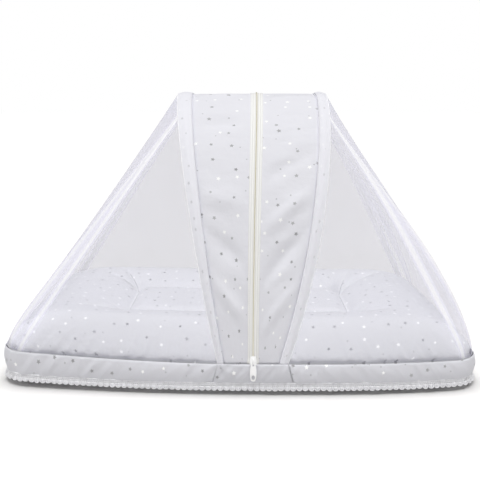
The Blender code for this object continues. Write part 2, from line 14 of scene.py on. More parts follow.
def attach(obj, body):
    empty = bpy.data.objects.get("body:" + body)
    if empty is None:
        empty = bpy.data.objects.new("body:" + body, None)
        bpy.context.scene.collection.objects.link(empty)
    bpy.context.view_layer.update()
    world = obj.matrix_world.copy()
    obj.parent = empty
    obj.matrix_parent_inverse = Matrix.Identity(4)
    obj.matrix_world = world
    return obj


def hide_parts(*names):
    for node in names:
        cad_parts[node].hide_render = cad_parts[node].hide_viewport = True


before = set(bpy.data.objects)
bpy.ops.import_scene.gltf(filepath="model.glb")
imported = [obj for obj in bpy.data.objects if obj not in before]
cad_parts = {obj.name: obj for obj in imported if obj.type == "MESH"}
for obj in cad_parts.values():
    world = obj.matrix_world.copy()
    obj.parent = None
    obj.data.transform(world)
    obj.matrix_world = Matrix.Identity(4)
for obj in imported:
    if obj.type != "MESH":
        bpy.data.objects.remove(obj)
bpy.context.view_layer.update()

# ---- sizes, as in the part

HALF_LENGTH = 0.5020
HALF_DEPTH = 0.287
CORNER_RADIUS = 0.050
END_BOW = 0.004
SIDE_BOW = 0.043
BOW_POWER = {"left": 2, "right": 3}
FRONT_SKEW = 0.010
CENTRE_SHIFT = Vector((-0.0001, 0.00343, 0.0))

LACE_BOTTOM = 0.0070
LACE_TOP = 0.0202
BAND_BOTTOM = 0.0215
BAND_TOP = 0.0635
FOOT = 0.0648
SEAM_RISE = 0.0125
RISE_START = 0.050
RISE_GROWTH = 1.1

BAND_PUFF = 0.0030
BAND_PIECE_GAP = 0.0016
FRONT_SEAM_FOOT = 0.012
SCALLOP_PITCH = 0.0125

PAD_PUFF = 0.076
RIM = 0.27
RIM_SLOPE = 1.25
LONG_RIM_SLOPE = 1.75      # the same along the long sides, which lean in more
SINK = 0.019
SINK_WIDTH = 0.070
TUFT_X = 0.258
TUFT_Y = 0.118

ZIP_PLANE = 0.033
ARCH_RISE = 0.5480
SLEEVES = (
    {"name": "left", "side": -1, "spread": 0.076, "lean": 0.098, "bow": 0.0045,
     "foot": 0.0125, "top": 0.0340, "growth": 1.1},
    {"name": "right", "side": 1, "spread": 0.069, "lean": 0.100, "bow": 0.0190,
     "foot": 0.0180, "top": 0.0245, "growth": 0.7},
)
SLEEVE_DEPTH = 0.0068
SLEEVE_LIFT = 0.0018

ZIP_TOP_SHIFT = 0.0088
ZIP_FOOT_SHIFT = -0.0031
TAPE_INNER = 0.0034
TAPE_FOOT_OUTER = 0.0108
TAPE_TOP_OUTER = 0.0140
TAPE_LIFT = 0.0022
COIL_LIFT = 0.0034
SLIDER_RAISE = 0.0008
SLIDER_LIFT = 0.0090

FRONT_RIDGE = 0.360
BACK_RIDGE = 0.620
RIDGE_SHARE = 8 / 26
RIDGE_HEIGHT = 0.007
NET_SEAM_GAP = 0.0011
NET_INSET = 0.0004
NETS = {
    "left": {"end": 0.010, "long": 0.016, "belly": 0.0065},
    "right": {"end": 0.006, "long": 0.014, "belly": 0.0440},
}
BELLY_LEAN = 0.75
NET_PUFF_HEIGHT = 0.12
NET_SAG = 0.010

STRAIGHT_X = HALF_LENGTH - CORNER_RADIUS
STRAIGHT_Y = HALF_DEPTH - CORNER_RADIUS
ARC = CORNER_RADIUS * math.pi / 2
QUARTER = STRAIGHT_X + ARC + STRAIGHT_Y
PERIMETER = 4 * QUARTER

MERGE = 0.00001            # vertices closer than this are one


# ---- small helpers

def blend(a, b, share):
    return a + (b - a) * share


def limit(value, low=0.0, high=1.0):
    return min(max(value, low), high)


def smooth(value):
    """0 below 0, 1 above 1, and an even slope between."""
    value = limit(value)
    return value * value * (3 - 2 * value)


def hump(distance, width):
    return math.exp(-(distance / width) ** 2)


def crease(distance, width):
    """1 on a line, with a sharp bottom like a sewn-in valley."""
    return math.exp(-abs(distance) / width)


def valley(distance, soft_share, soft_width, sharp_width):
    """1 on a line: a sharp crease at the bottom of a soft hollow."""
    return blend(crease(distance, sharp_width), hump(distance, soft_width), soft_share)


def ripple(x, y, seed):
    """Even, repeatable unevenness between about -1 and 1."""
    return noise.noise(Vector((x, y, seed)))


def ripples(rows, x, y, side=1):
    """The sum of some ripples. A row gives a height, how fast it changes along x and along y, and
    a seed, which side turns over for the other side of the canopy."""
    return sum(height * ripple(x * fast_x, y * fast_y, side * seed)
               for height, fast_x, fast_y, seed in rows)


def read_steps(lengths, share):
    """A length at a share of a run that was measured in even steps."""
    place = limit(share) * (len(lengths) - 1)
    step = min(int(place), len(lengths) - 2)
    return blend(lengths[step], lengths[step + 1], place - step)


# ---- guide curves

ARCH_STEPS = 400
HALVINGS = 24


def bow(x, y):
    across = x / HALF_LENGTH
    along = y / HALF_DEPTH
    power = BOW_POWER["right" if x > 0 else "left"]
    bowed_x = x + END_BOW * across * (1 - min(1.0, along * along))
    bowed_y = y + SIDE_BOW * along * (1 - min(1.0, abs(across) ** power))
    if y < 0:
        bowed_y += FRONT_SKEW * across * along
    return Vector((bowed_x, bowed_y, 0.0))


def flat_outline(share, inset):
    """A point of the base's rounded rectangle; share 0 is the middle of the front, and it runs by
    way of the right end and the back."""
    quarter, part = divmod(share % 1.0 * 4, 1)
    quarter %= 4              # a share a hair below 0 rounds up to a whole turn
    distance = (part if quarter % 2 == 0 else 1 - part) * QUARTER
    radius = CORNER_RADIUS - inset
    if distance <= STRAIGHT_X:
        x, y = distance, HALF_DEPTH - inset
    elif distance <= STRAIGHT_X + ARC:
        turn = (distance - STRAIGHT_X) / CORNER_RADIUS
        x = STRAIGHT_X + radius * math.sin(turn)
        y = STRAIGHT_Y + radius * math.cos(turn)
    else:
        x, y = HALF_LENGTH - inset, QUARTER - distance
    x *= 1 if quarter < 2 else -1
    y *= -1 if quarter in (0, 3) else 1
    return x, y


def seam_rise(x):
    """How much higher the band's top seam lies at x than at the middle."""
    run = max(0.0, -x - RISE_START) / (HALF_LENGTH - RISE_START)
    return SEAM_RISE * run ** RISE_GROWTH


def outline(share, inset, level):
    point = bow(*flat_outline(share, inset))
    height = max(0.0, level - LACE_TOP) / (FOOT - LACE_TOP)
    point.z = level + seam_rise(point.x) * height
    return point + CENTRE_SHIFT


def outward(share):
    return (outline(share, 0.0, 0.0) - outline(share, 0.02, 0.0)).normalized()


def arch(along, x, lift=0.0):
    """A point of the arch at x; along is 0 at the front foot and 1 at the back foot."""
    angle = math.pi * along
    reach = abs(bow(x, HALF_DEPTH if along > 0.5 else -HALF_DEPTH).y) - NET_INSET
    normal = Vector((0.0, -math.cos(angle) / reach, math.sin(angle) / ARCH_RISE)).normalized()
    point = Vector((x, -reach * math.cos(angle), FOOT + ARCH_RISE * math.sin(angle)))
    return point + normal * lift + CENTRE_SHIFT


def height_share(along):
    return math.sin(math.pi * along)


def sleeve_width(sleeve, along):
    return blend(sleeve["foot"], sleeve["top"], height_share(along) ** sleeve["growth"])


def sleeve_outer_x(sleeve, along):
    high = height_share(along)
    spread = sleeve["spread"] + sleeve["lean"] * high + sleeve["bow"] * 4 * high * (1 - high)
    return ZIP_PLANE + sleeve["side"] * spread


def sleeve_inner_x(sleeve, along):
    return sleeve_outer_x(sleeve, along) - sleeve["side"] * sleeve_width(sleeve, along)


def zip_x(along):
    return ZIP_PLANE + blend(ZIP_FOOT_SHIFT, ZIP_TOP_SHIFT, height_share(along) ** 2)


def tape_outer(along):
    return blend(TAPE_FOOT_OUTER, TAPE_TOP_OUTER, height_share(along))


def measure_arch():
    """Metres of cloth from the front foot to each step of the arch."""
    points = [arch(step / ARCH_STEPS, ZIP_PLANE) for step in range(ARCH_STEPS + 1)]
    lengths = [0.0]
    for last, point in zip(points, points[1:]):
        lengths.append(lengths[-1] + (point - last).length)
    return lengths


ARCH_METRES = measure_arch()
ARCH_LENGTH = ARCH_METRES[-1]


def arch_metres(along):
    """Metres of cloth from the front foot to a share of the arch."""
    return read_steps(ARCH_METRES, along)


def arch_share(metres):
    """The share of the arch that lies so many metres of cloth from the front foot."""
    low, high = 0.0, 1.0
    for _ in range(HALVINGS):
        middle = (low + high) / 2
        if arch_metres(middle) < metres:
            low = middle
        else:
            high = middle
    return (low + high) / 2


# ---- meshes

def add_object(name, data):
    made = bpy.data.objects.new(name, data)
    bpy.context.scene.collection.objects.link(made)
    return made


def as_mesh(name, bm):
    mesh = bpy.data.meshes.new(name)
    bm.to_mesh(mesh)
    bm.free()
    return mesh


def finish_piece(name, bm, material, node=None, thickness=0.0):
    """Turn a bmesh into a shown piece that rides on the frame, in place of a solid if one is named,
    and give a thin sheet its thickness, inwards."""
    mesh = as_mesh(name, bm)
    mesh.shade_smooth()
    mesh.materials.append(material)
    piece = add_object(name, mesh)
    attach(piece, "root")
    if node:
        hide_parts(node)
    if thickness:
        solidify = piece.modifiers.new("thickness", "SOLIDIFY")
        solidify.thickness = thickness
        solidify.offset = -1.0
    return piece


def cloth_grid(columns, rows, place, flat, flip=False):
    """A fine grid of cloth. place(u, v) gives each point, and flat(u, v) its place on the uncut
    cloth in metres, kept as the UV map "cut" for the print and the weave."""
    bm = bmesh.new()
    bmesh.ops.create_grid(bm, x_segments=columns, y_segments=rows, size=0.5)
    cut = bm.loops.layers.uv.new("cut")
    for face in bm.faces:
        for loop in face.loops:
            loop[cut].uv = flat(loop.vert.co.x + 0.5, loop.vert.co.y + 0.5)
    for vert in bm.verts:
        vert.co = place(vert.co.x + 0.5, vert.co.y + 0.5)
    bmesh.ops.remove_doubles(bm, verts=bm.verts, dist=MERGE)
    if flip:
        bmesh.ops.reverse_faces(bm, faces=bm.faces)
    return bm


def add_copy(bm, pattern, place=Matrix.Identity(4)):
    """Add a copy of a small mesh, moved into place, and return its vertices."""
    first = len(bm.verts)
    bm.from_mesh(pattern)
    bm.verts.ensure_lookup_table()
    copied = bm.verts[first:]
    bmesh.ops.transform(bm, matrix=place, verts=copied)
    return copied


# ---- shaders

def operator(operation, reflected=False):
    """An operator between a Value and a Value or number, as a Math node."""
    def apply(self, other):
        values = (other, self) if reflected else (self, other)
        return self.shade.maths(operation, *values)
    return apply


class Value:
    """A shader socket; arithmetic on it adds Math nodes."""

    def __init__(self, shade, socket):
        self.shade = shade
        self.socket = socket

    __add__ = __radd__ = operator("ADD")
    __sub__ = operator("SUBTRACT")
    __rsub__ = operator("SUBTRACT", reflected=True)
    __mul__ = __rmul__ = operator("MULTIPLY")
    __truediv__ = operator("DIVIDE")
    __lt__ = operator("LESS_THAN")

    def clamped(self):
        return self.shade.maths("ADD", self, 0.0, use_clamp=True)

    def beside(self, output):
        """Another output of the same node."""
        return Value(self.shade, self.socket.node.outputs[output])


class Shade:
    """One material and its nodes."""

    def __init__(self, name, colour, roughness, **constants):
        self.material = bpy.data.materials.new(name)
        self.material.use_nodes = True
        self.tree = self.material.node_tree
        self.surface = self.tree.nodes["Principled BSDF"]
        self.surface.inputs["Base Color"].default_value = (*colour, 1.0)
        self.surface.inputs["Roughness"].default_value = roughness
        for key, value in constants.items():
            self.surface.inputs[key.replace("_", " ")].default_value = value

    def plug(self, socket, value):
        if isinstance(value, Value):
            self.tree.links.new(value.socket, socket)
        else:
            socket.default_value = value

    def node(self, kind, inputs, output=0, **settings):
        """Add a node: its settings first, then the values or links of its sockets."""
        made = self.tree.nodes.new("ShaderNode" + kind)
        for key, value in settings.items():
            setattr(made, key, value)
        for key, value in inputs.items():
            self.plug(made.inputs[key], value)
        return Value(self, made.outputs[output])

    def maths(self, operation, *values, use_clamp=False):
        return self.node("Math", dict(enumerate(values)), operation=operation, use_clamp=use_clamp)

    def vector(self, operation, *values):
        return self.node("VectorMath", dict(enumerate(values)), operation=operation)

    def mix(self, factor, one, other):
        """A colour between two others."""
        return self.node("Mix", {0: factor, 6: one, 7: other}, output=2, data_type="RGBA")

    def cut(self):
        """The place on the uncut cloth, in metres."""
        return self.node("UVMap", {}, uv_map="cut")

    def object_place(self):
        return self.node("TexCoord", {}, output="Object")

    def bump(self, height, metres, normal=None):
        inputs = {"Height": height, "Distance": metres, "Strength": 1.0}
        if normal:
            inputs["Normal"] = normal
        return self.node("Bump", inputs)

    def noise(self, vector, scale, detail=3.0, roughness=0.5):
        return self.node("TexNoise", {"Vector": vector, "Scale": scale, "Detail": detail,
                                      "Roughness": roughness})

    def ribs(self, vector, scale, unevenness, direction):
        """Threads or ribs side by side along one direction."""
        inputs = {"Vector": vector, "Scale": scale, "Distortion": unevenness}
        return self.node("TexWave", inputs, output="Fac", bands_direction=direction)

    def set(self, socket, value):
        self.plug(self.surface.inputs[socket], value)


def tint(level, blue=0.0):
    """A pale grey from its level, a little cooler as blue grows."""
    return (level, level, level * (1 + blue), 1.0)


STAR_SHAPE = 2.25         # how fast a five-pointed star's edge draws in from tip to valley
STAR_STRAY = 0.72         # how far the stars stray from even rows
STAR_EDGE = 6.0           # how sharp the print is
STARS = {"pitch": 0.0390, "radius": 0.0038, "spread": 0.0014, "seed": 3.1}
SPECKS = {"pitch": 0.0640, "radius": 0.0018, "spread": 0.0009, "seed": 11.7}
WHITE_SHARE = 0.42        # of the stars are white, and the others grey
GREY_INKS = (tint(0.30, 0.03), tint(0.50, 0.03))
WHITE_INK = tint(0.99)
SPECK_INK = tint(0.40, 0.03)
SPECK_SHARE = 0.70
THREAD_SCALE = 260.0
THREAD_DEPTH = 0.00006


def star_field(shade, place, pitch, radius, spread, seed):
    """Five-pointed stars strewn over the cloth, one to a cell. Returns where they are, from 0 to
    1, and a number for each star."""
    spot = shade.vector("ADD", place, (seed, seed * 0.7, 0.0))
    inputs = {"Vector": spot, "Scale": 1 / pitch, "Randomness": STAR_STRAY}
    cells = shade.node("TexVoronoi", inputs, output="Position", voronoi_dimensions="2D")
    offset = shade.vector("SUBTRACT", spot, cells)
    x = shade.node("SeparateXYZ", {0: offset})
    kind = shade.node("SeparateColor", {0: cells.beside("Color")})
    turn, size = kind.beside(1), kind.beside(2)
    angle = shade.maths("ARCTAN2", x.beside(1), x) + turn * (2 * math.pi)
    point = shade.maths("PINGPONG", angle, math.pi / 5)
    edge = shade.maths("COSINE", point) + shade.maths("SINE", point) * STAR_SHAPE
    distance = shade.node("VectorMath", {0: offset}, output="Value", operation="LENGTH")
    inside = distance * edge / (size * spread + radius)
    return ((1.0 - inside) * STAR_EDGE + 0.5).clamped(), kind


def star_cotton(name, ground, print_share=1.0, wrinkle=0.0016, blue=0.060):
    """Pale grey woven cotton printed with small stars, white and grey."""
    shade = Shade(name, (ground, ground, ground), 0.92, Sheen_Weight=0.15, Sheen_Roughness=0.6)
    place = shade.cut()
    stars, kind = star_field(shade, place, **STARS)
    specks, _ = star_field(shade, place, **SPECKS)
    cloud = shade.noise(place, 9.0, 2.0)
    base = shade.mix(cloud, tint(ground * 0.985, blue), tint(ground * 1.015, blue))
    ink = shade.mix((kind - WHITE_SHARE) / (1 - WHITE_SHARE), *GREY_INKS)
    ink = shade.mix(kind < WHITE_SHARE, ink, WHITE_INK)
    colour = shade.mix(specks * (SPECK_SHARE * print_share), base, SPECK_INK)
    shade.set("Base Color", shade.mix(stars * print_share, colour, ink))
    threads = shade.ribs(place, THREAD_SCALE, 0.6, "X") + shade.ribs(place, THREAD_SCALE, 0.6, "Y")
    crumple = shade.noise(place, 28.0, 4.0, 0.55) + shade.noise(place, 90.0, 2.0) * 0.25
    shade.set("Normal", shade.bump(threads, THREAD_DEPTH, shade.bump(crumple, wrinkle)))
    return shade.material


NET_THREADS = 0.24        # the share of the net that is thread and not hole
NET_SCALE = 420.0
NET_GREY = (0.38, 0.38, 0.49, 1.0)
NET_WHITE = (0.75, 0.74, 0.92, 1.0)


def tulle():
    """Sheer net: mostly holes, denser and whiter where it is folded or hemmed, with painted light
    on its end strips.
    """
    shade = Shade("tulle", (0.80, 0.80, 0.90), 0.85)
    place = shade.cut()
    threads = shade.node("TexVoronoi", {"Vector": place, "Scale": NET_SCALE, "Randomness": 0.15},
                         output="Distance", voronoi_dimensions="2D",
                         feature="DISTANCE_TO_EDGE")
    holes = (threads * 6.0).clamped()
    fold_and_light = shade.node("Attribute", {}, output="Fac", attribute_name="fold_and_light")
    cloud = shade.noise(place, 14.0, 2.0)
    plain = (1.07 - holes * 0.11) * (cloud * 0.08 + 0.96) * NET_THREADS
    shade.set("Alpha", (plain + fold_and_light * 0.5).clamped())
    # Whiter as the fold attribute grows: real folds and hems, and painted light on the end strips.
    colour = shade.mix((fold_and_light * 4.0).clamped(), NET_GREY, NET_WHITE)
    shade.set("Base Color", shade.mix((fold_and_light * 3.0 - 1.0).clamped(), colour, tint(0.97, 0.03)))
    return shade.material


def plain_thread(name, colour, scale=900.0):
    """Thread or lace: one colour with a fine twist in its surface."""
    shade = Shade(name, colour, 0.9, Sheen_Weight=0.2)
    twist = shade.noise(shade.object_place(), scale, 2.0)
    shade.set("Base Color", shade.mix(twist, (*(c * 0.95 for c in colour), 1.0),
                                      (*(min(c * 1.04, 1.0) for c in colour), 1.0)))
    shade.set("Normal", shade.bump(twist, 0.0001))
    return shade.material


def tape_weave():
    """Woven zip tape: ribs along its length."""
    shade = Shade("tape_weave", (0.92, 0.915, 0.90), 0.85, Sheen_Weight=0.2)
    ribs = shade.ribs(shade.cut(), 62.0, 0.4, "X")
    shade.set("Base Color", shade.mix(ribs, (0.76, 0.755, 0.735, 1.0), (0.95, 0.95, 0.93, 1.0)))
    shade.set("Normal", shade.bump(ribs, 0.00012))
    return shade.material


def enamel(name, colour, roughness):
    """Painted metal or smooth plastic with slight unevenness."""
    shade = Shade(name, colour, roughness, Coat_Weight=0.3, Coat_Roughness=0.15)
    uneven = shade.noise(shade.object_place(), 700.0)
    shade.set("Roughness", uneven * 0.14 + (roughness - 0.07))
    return shade.material


# ---- the mattress

PAD_COLUMNS = 250
PAD_ROWS = 170
PAD_CROWDING = 1.35       # how much closer its rows stand at the rim
RIM_STEPS = 80
PAD_EDGE_INSET = 0.0060
SEAM_BULGE = 0.0036       # how far the mattress's cloth swells out just above its seam
SEAM_BULGE_START = 0.0030
SEAM_REACH = 0.030        # how far above the seam the bulge and the gathers fade out
RIM_CLOTH = 0.125         # metres of cloth from the seam up to the rim's crown
PAD_GATHERS = ((0.0030, 62, 9, 4.0), (0.0022, 24, 5, 8.0))
SEAM_DEPTH = 0.018
TUFT_DEPTH = 0.010
PUCKER_HEIGHT = 0.0016
PUCKERS = 9               # round each tuft
RADIAL_CREASES = (
    # the tuft's side in x and in y, heading in degrees, length, depth
    (1, 1, 68, 0.12, 0.028),
    (1, 1, 38, 0.17, 0.028),
    (1, -1, -28, 0.10, 0.010),
    (-1, 1, 118, 0.13, 0.013),
    (-1, -1, 205, 0.12, 0.011),
    (-1, 1, 152, 0.10, 0.011),
)
PAD_SIDE = (
    # level and inset, from the seam down to the floor
    (0.0510, 0.0045),
    (0.0360, 0.0045),
    (0.0200, 0.0070),
    (0.0090, 0.0120),
    (0.0000, 0.0240),
)


def pad_share(u, v):
    """Where the outline is met from a grid point, with u and v from -1 to 1."""
    ring = max(abs(u), abs(v))
    long_reach = (STRAIGHT_X + ARC / 2) / PERIMETER
    short_reach = (STRAIGHT_Y + ARC / 2) / PERIMETER
    if ring == 0:
        return 0.0, 0.0
    if abs(v) >= abs(u):
        share = u / ring * long_reach if v < 0 else 0.5 - u / ring * long_reach
    else:
        share = 0.25 + v / ring * short_reach if u > 0 else 0.75 - v / ring * short_reach
    return ring, share


def crease_line(x_side, y_side, heading):
    """Where a crease starts, at its tuft, and which way it runs."""
    turn = math.radians(heading)
    return Vector((x_side * TUFT_X, y_side * TUFT_Y)), Vector((math.cos(turn), math.sin(turn)))


def radial_depth(x, y):
    total = 0.0
    for x_side, y_side, heading, length, depth in RADIAL_CREASES:
        start, way = crease_line(x_side, y_side, heading)
        offset = Vector((x, y)) - start
        run = limit(offset.dot(way), 0.0, length)
        gap = (offset - way * run).length
        total += depth * (1 - run / length) * valley(gap, 0.45, 0.015, 0.006)
    return total


def sewn_depth(x, y):
    """How far the sewn middle lies below the crown: seams between four tufts, puckered there."""
    gap_x = abs(x) - TUFT_X
    gap_y = abs(y) - TUFT_Y
    outside = math.hypot(max(gap_x, 0.0), max(gap_y, 0.0))
    seam = outside if max(gap_x, gap_y) > 0 else -max(gap_x, gap_y)
    near = math.hypot(gap_x, gap_y)
    turn = math.atan2(gap_y * math.copysign(1, y), gap_x * math.copysign(1, x))
    rays = math.cos(PUCKERS * turn + 2 * ripple(x * 5, y * 5, 1.0))
    pucker = PUCKER_HEIGHT * rays * crease(near, 0.045) * smooth(near / 0.012)
    sewn = SEAM_DEPTH * valley(seam, 0.4, 0.020, 0.006)
    tuft = TUFT_DEPTH * valley(near, 0.5, 0.030, 0.010)
    return SINK * hump(outside, SINK_WIDTH) + sewn + tuft + pucker


def rim_height(rise, slope):
    return math.sqrt(1 - (1 - rise) ** 2) ** slope


def measure_rim(half, slope):
    """Metres of cloth from the crown down to each step of the rim, over a rim so wide."""
    lengths = [0.0]
    for step in range(RIM_STEPS, 0, -1):
        high, low = (rim_height(place / RIM_STEPS, slope) for place in (step, step - 1))
        lengths.append(lengths[-1] + math.hypot(PAD_PUFF * (high - low), RIM * half / RIM_STEPS))
    return lengths


RIM_METRES = {HALF_LENGTH: measure_rim(HALF_LENGTH, RIM_SLOPE),
              HALF_DEPTH: measure_rim(HALF_DEPTH, LONG_RIM_SLOPE)}


def pad_point(u, v):
    ring, share = pad_share(u, v)
    x, y = flat_outline(share, PAD_EDGE_INSET)
    point = bow(x * ring, y * ring)
    rise = min((1 - ring) / RIM, 1.0)
    rim = rim_height(rise, blend(RIM_SLOPE, LONG_RIM_SLOPE, outward(share).y ** 2))
    low = sewn_depth(point.x, point.y) + radial_depth(point.x, point.y)
    from_seam = rise * RIM_CLOTH
    fade = crease(from_seam, SEAM_REACH)
    gather = ripples(PAD_GATHERS, share * PERIMETER, from_seam) * fade * smooth(from_seam / 0.004)
    uneven = 0.0022 * ripple(point.x * 9, point.y * 9, 2.0) * smooth(rise * 2)
    point.z = FOOT + seam_rise(point.x) + PAD_PUFF * rim - low * rise + (gather + uneven) * 0.8
    bulge = SEAM_BULGE * (1 - crease(from_seam, SEAM_BULGE_START)) * fade
    point += outward(share) * (bulge + gather * (1 - rise))
    return point + CENTRE_SHIFT


def pad_cut(u, v):
    """The cloth's own place: wider than the plan, because it climbs the rim."""
    ring, share = pad_share(u, v)
    x, y = flat_outline(share, 0.0)
    down = 1 - min((1 - ring) / RIM, 1.0)
    spreads = [min(ring, 1 - RIM) + read_steps(lengths, down) / half
               for half, lengths in RIM_METRES.items()]
    return x * spreads[0], y * spreads[1]


def spread_to_rim(value):
    return math.copysign(1 - (1 - abs(value)) ** PAD_CROWDING, value)


def make_mattress(material):
    bm = bmesh.new()
    bmesh.ops.create_grid(bm, x_segments=PAD_COLUMNS, y_segments=PAD_ROWS, size=1.0)
    cut = bm.loops.layers.uv.new("cut")
    shares = {}
    flat = {}
    for vert in bm.verts:
        u, v = spread_to_rim(vert.co.x), spread_to_rim(vert.co.y)
        shares[vert] = pad_share(u, v)[1]
        flat[vert] = pad_cut(u, v)
        vert.co = pad_point(u, v)
    edge = [item for item in bm.edges if item.is_boundary]
    for level, inset in PAD_SIDE:
        upper = {vert for item in edge for vert in item.verts}
        grown = bmesh.ops.extrude_edge_only(bm, edges=edge)["geom"]
        edge = [item for item in grown if isinstance(item, bmesh.types.BMEdge)]
        for vert in (item for item in grown if isinstance(item, bmesh.types.BMVert)):
            above = next(link.other_vert(vert) for link in vert.link_edges
                         if link.other_vert(vert) in upper)
            shares[vert] = shares[above]
            flat[vert] = flat[above]
            vert.co = outline(shares[vert], inset - band_puff(level), level)
    for face in bm.faces:
        for loop in face.loops:
            loop[cut].uv = flat[loop.vert]
    bmesh.ops.contextual_create(bm, geom=edge)
    bmesh.ops.recalc_face_normals(bm, faces=bm.faces)
    pad = finish_piece("mattress", bm, material, "mattress_pad")
    return pad


# ---- border band

BAND_THICK = 0.0012
BAND_ROWS = 14
BAND_LEAN = 0.0034        # how far its top leans out over the seam
BAND_OVER = 0.0006
BAND_TUCK = 0.0024        # how far its lower edge reaches down behind the lace
BAND_WAVES = ((0.0032, 24, 0.5, 5.0), (0.0014, 55, 0.9, 9.0))
WAVE_SLANT = 0.034
WAVE_TURN = 0.16          # where the waves change their slant, from the middle of the front
SEAM_CURL = 0.0034        # how far the band turns in at its bottom seam
END_CURL = 0.0008
END_CURL_REACH = 0.002
FOOT_FOLDS = (
    # the fans of folds below the two sleeves: count, height, reach, phase
    (7, 0.0024, 0.036, 0.4),
    (5, 0.0013, 0.030, 1.9),
)


def band_puff(level):
    up = (level - BAND_BOTTOM) / (BAND_TOP - BAND_BOTTOM)
    return BAND_PUFF * max(0.0, math.sin(math.pi * limit(up)))


def ridge(value):
    """A sharp ridge wherever a smooth wave crosses nought."""
    return 1 - 2 * math.sqrt(value * value + 0.004)


def band_relief(share, up):
    """The band's folds: soft slanting waves, gathers under the top seam, and folds that fan out
    below the feet of the hoops."""
    metres = ((share + 0.5) % 1.0 - 0.5) * PERIMETER
    slant = metres - WAVE_SLANT * up * math.copysign(1, WAVE_TURN - metres)
    waves = sum(height * ridge(ripple(slant * fast_x, up * fast_y, seed))
                for height, fast_x, fast_y, seed in BAND_WAVES)
    gathers = 0.0010 * ripple(metres * 110, up * 2, 3.0) * crease(1 - up, 0.22)
    back = metres if abs(metres) < PERIMETER / 4 else math.copysign(PERIMETER / 2, metres) - metres
    down = (1 - up) * (BAND_TOP - BAND_BOTTOM)
    fans = 0.0
    for sleeve, (count, height, fade, phase) in zip(SLEEVES, FOOT_FOLDS):
        foot = sleeve_outer_x(sleeve, 0.0)
        reach = math.hypot(back - foot, down)
        ray = math.cos(count * math.atan2(back - foot, down + 0.004) + phase)
        fans += height * ray * crease(reach, fade) * smooth(reach / 0.010)
    return (waves + fans) * math.sin(math.pi * up) ** 0.5 + gathers


def make_band(name, ends, slant, columns, material):
    """A piece of the band between two shares of the outline; its end seams slant apart by so many
    metres each towards the floor."""
    width = (ends[1] - ends[0]) * PERIMETER

    def at(u, v):
        lean = slant * (1 - v) / PERIMETER
        return blend(ends[0] - lean, ends[1] + lean, u)

    def place(u, v):
        share = at(u, v)
        level = blend(BAND_BOTTOM - BAND_TUCK, BAND_TOP + BAND_OVER, v)
        curl = SEAM_CURL * crease(v, 0.045)
        curl += END_CURL * sum(crease(gap * width, END_CURL_REACH) for gap in (u, 1 - u))
        push = band_puff(level) + BAND_LEAN * v * v + band_relief(share, v) - curl
        return outline(share, -push, level)

    def flat(u, v):
        return at(u, v) * PERIMETER, v * (BAND_TOP - BAND_BOTTOM) + 0.7

    bm = cloth_grid(columns, BAND_ROWS, place, flat)
    band = finish_piece("band_" + name, bm, material, "border_" + name, BAND_THICK)
    return band


def make_bands(material):
    half_slit = BAND_PIECE_GAP / 2 / PERIMETER
    left, right = (sleeve_outer_x(sleeve, 0.0) / PERIMETER for sleeve in SLEEVES)
    back_right = 0.5 - right
    back_left = 0.5 - left
    apart = FRONT_SEAM_FOOT
    pieces = (
        ("front_centre", (left + 0.3 * half_slit, right - half_slit), apart, 90),
        ("right", (right + half_slit, back_right - half_slit), -apart, 620),
        ("back_centre", (back_right + half_slit, back_left - half_slit), apart, 90),
        ("left", (back_left + half_slit, 1 + left - 0.3 * half_slit), -apart, 620),
    )
    return [make_band(*piece, material) for piece in pieces]


# ---- lace

LACE_THICK = 0.0005
LACE_OVER = 0.0022        # how far its heading reaches up over the band
LACE_OUT = 0.0018
LACE_FLARE = 0.0085
LACE_WAVE = 0.0016
LACE_RAISE = 0.0018
LACE_LIFT = 0.0026        # how far it is drawn up at the left end
LACE_DROP = LACE_TOP + LACE_OVER - LACE_BOTTOM
LACE_ROWS = ((0.0, 0.0024), (0.0040, 0.0052), (0.0070, 0.0102))
LACE_BARS = 3
LACE_RAYS = 5
RAY_SWEEP = 0.32


def lace_unit():
    """One scallop of the lace, flat: x along the edge, y down from its top."""
    bm = bmesh.new()
    half = SCALLOP_PITCH / 2
    heading = LACE_ROWS[-1][1]

    def plate(x, width, top, bottom):
        made = bmesh.ops.create_grid(bm, x_segments=1, y_segments=1, size=0.5)["verts"]
        for vert in made:
            vert.co = Vector((x + vert.co.x * width, blend(top, bottom, vert.co.y + 0.5), 0.0))

    def fan(inner, outer, start, sweep, steps):
        way = Vector((math.cos(start), math.sin(start), 0.0)) * half
        ends = [bm.verts.new(way * share) for share in (inner, outer)]
        first = len(bm.verts) - 2
        bmesh.ops.spin(bm, geom=[*ends, bm.edges.new(ends)], cent=(0, 0, 0), axis=(0, 0, 1),
                       angle=sweep, steps=steps)
        bm.verts.ensure_lookup_table()
        for vert in bm.verts[first:]:
            vert.co.y = heading + vert.co.y * (LACE_DROP - heading) / half

    for top, bottom in LACE_ROWS:
        plate(0.0, SCALLOP_PITCH, top, bottom)
    pitch = SCALLOP_PITCH / LACE_BARS
    for number, (upper, lower) in enumerate(zip(LACE_ROWS, LACE_ROWS[1:])):
        for step in range(LACE_BARS):
            plate((step + 0.5 * number + 0.25) * pitch - half, pitch / 2, upper[1], lower[0])
    fan(0.0, 0.42, 0.0, math.pi, 6)
    fan(0.66, 1.0, 0.0, math.pi, 12)
    for step in range(LACE_RAYS):
        turn = math.pi * (step + 0.5) / LACE_RAYS
        fan(0.36, 0.70, turn - RAY_SWEEP / 2, RAY_SWEEP, 1)
    bmesh.ops.recalc_face_normals(bm, faces=bm.faces)
    bmesh.ops.solidify(bm, geom=bm.faces[:], thickness=LACE_THICK)
    return as_mesh("lace_unit", bm)


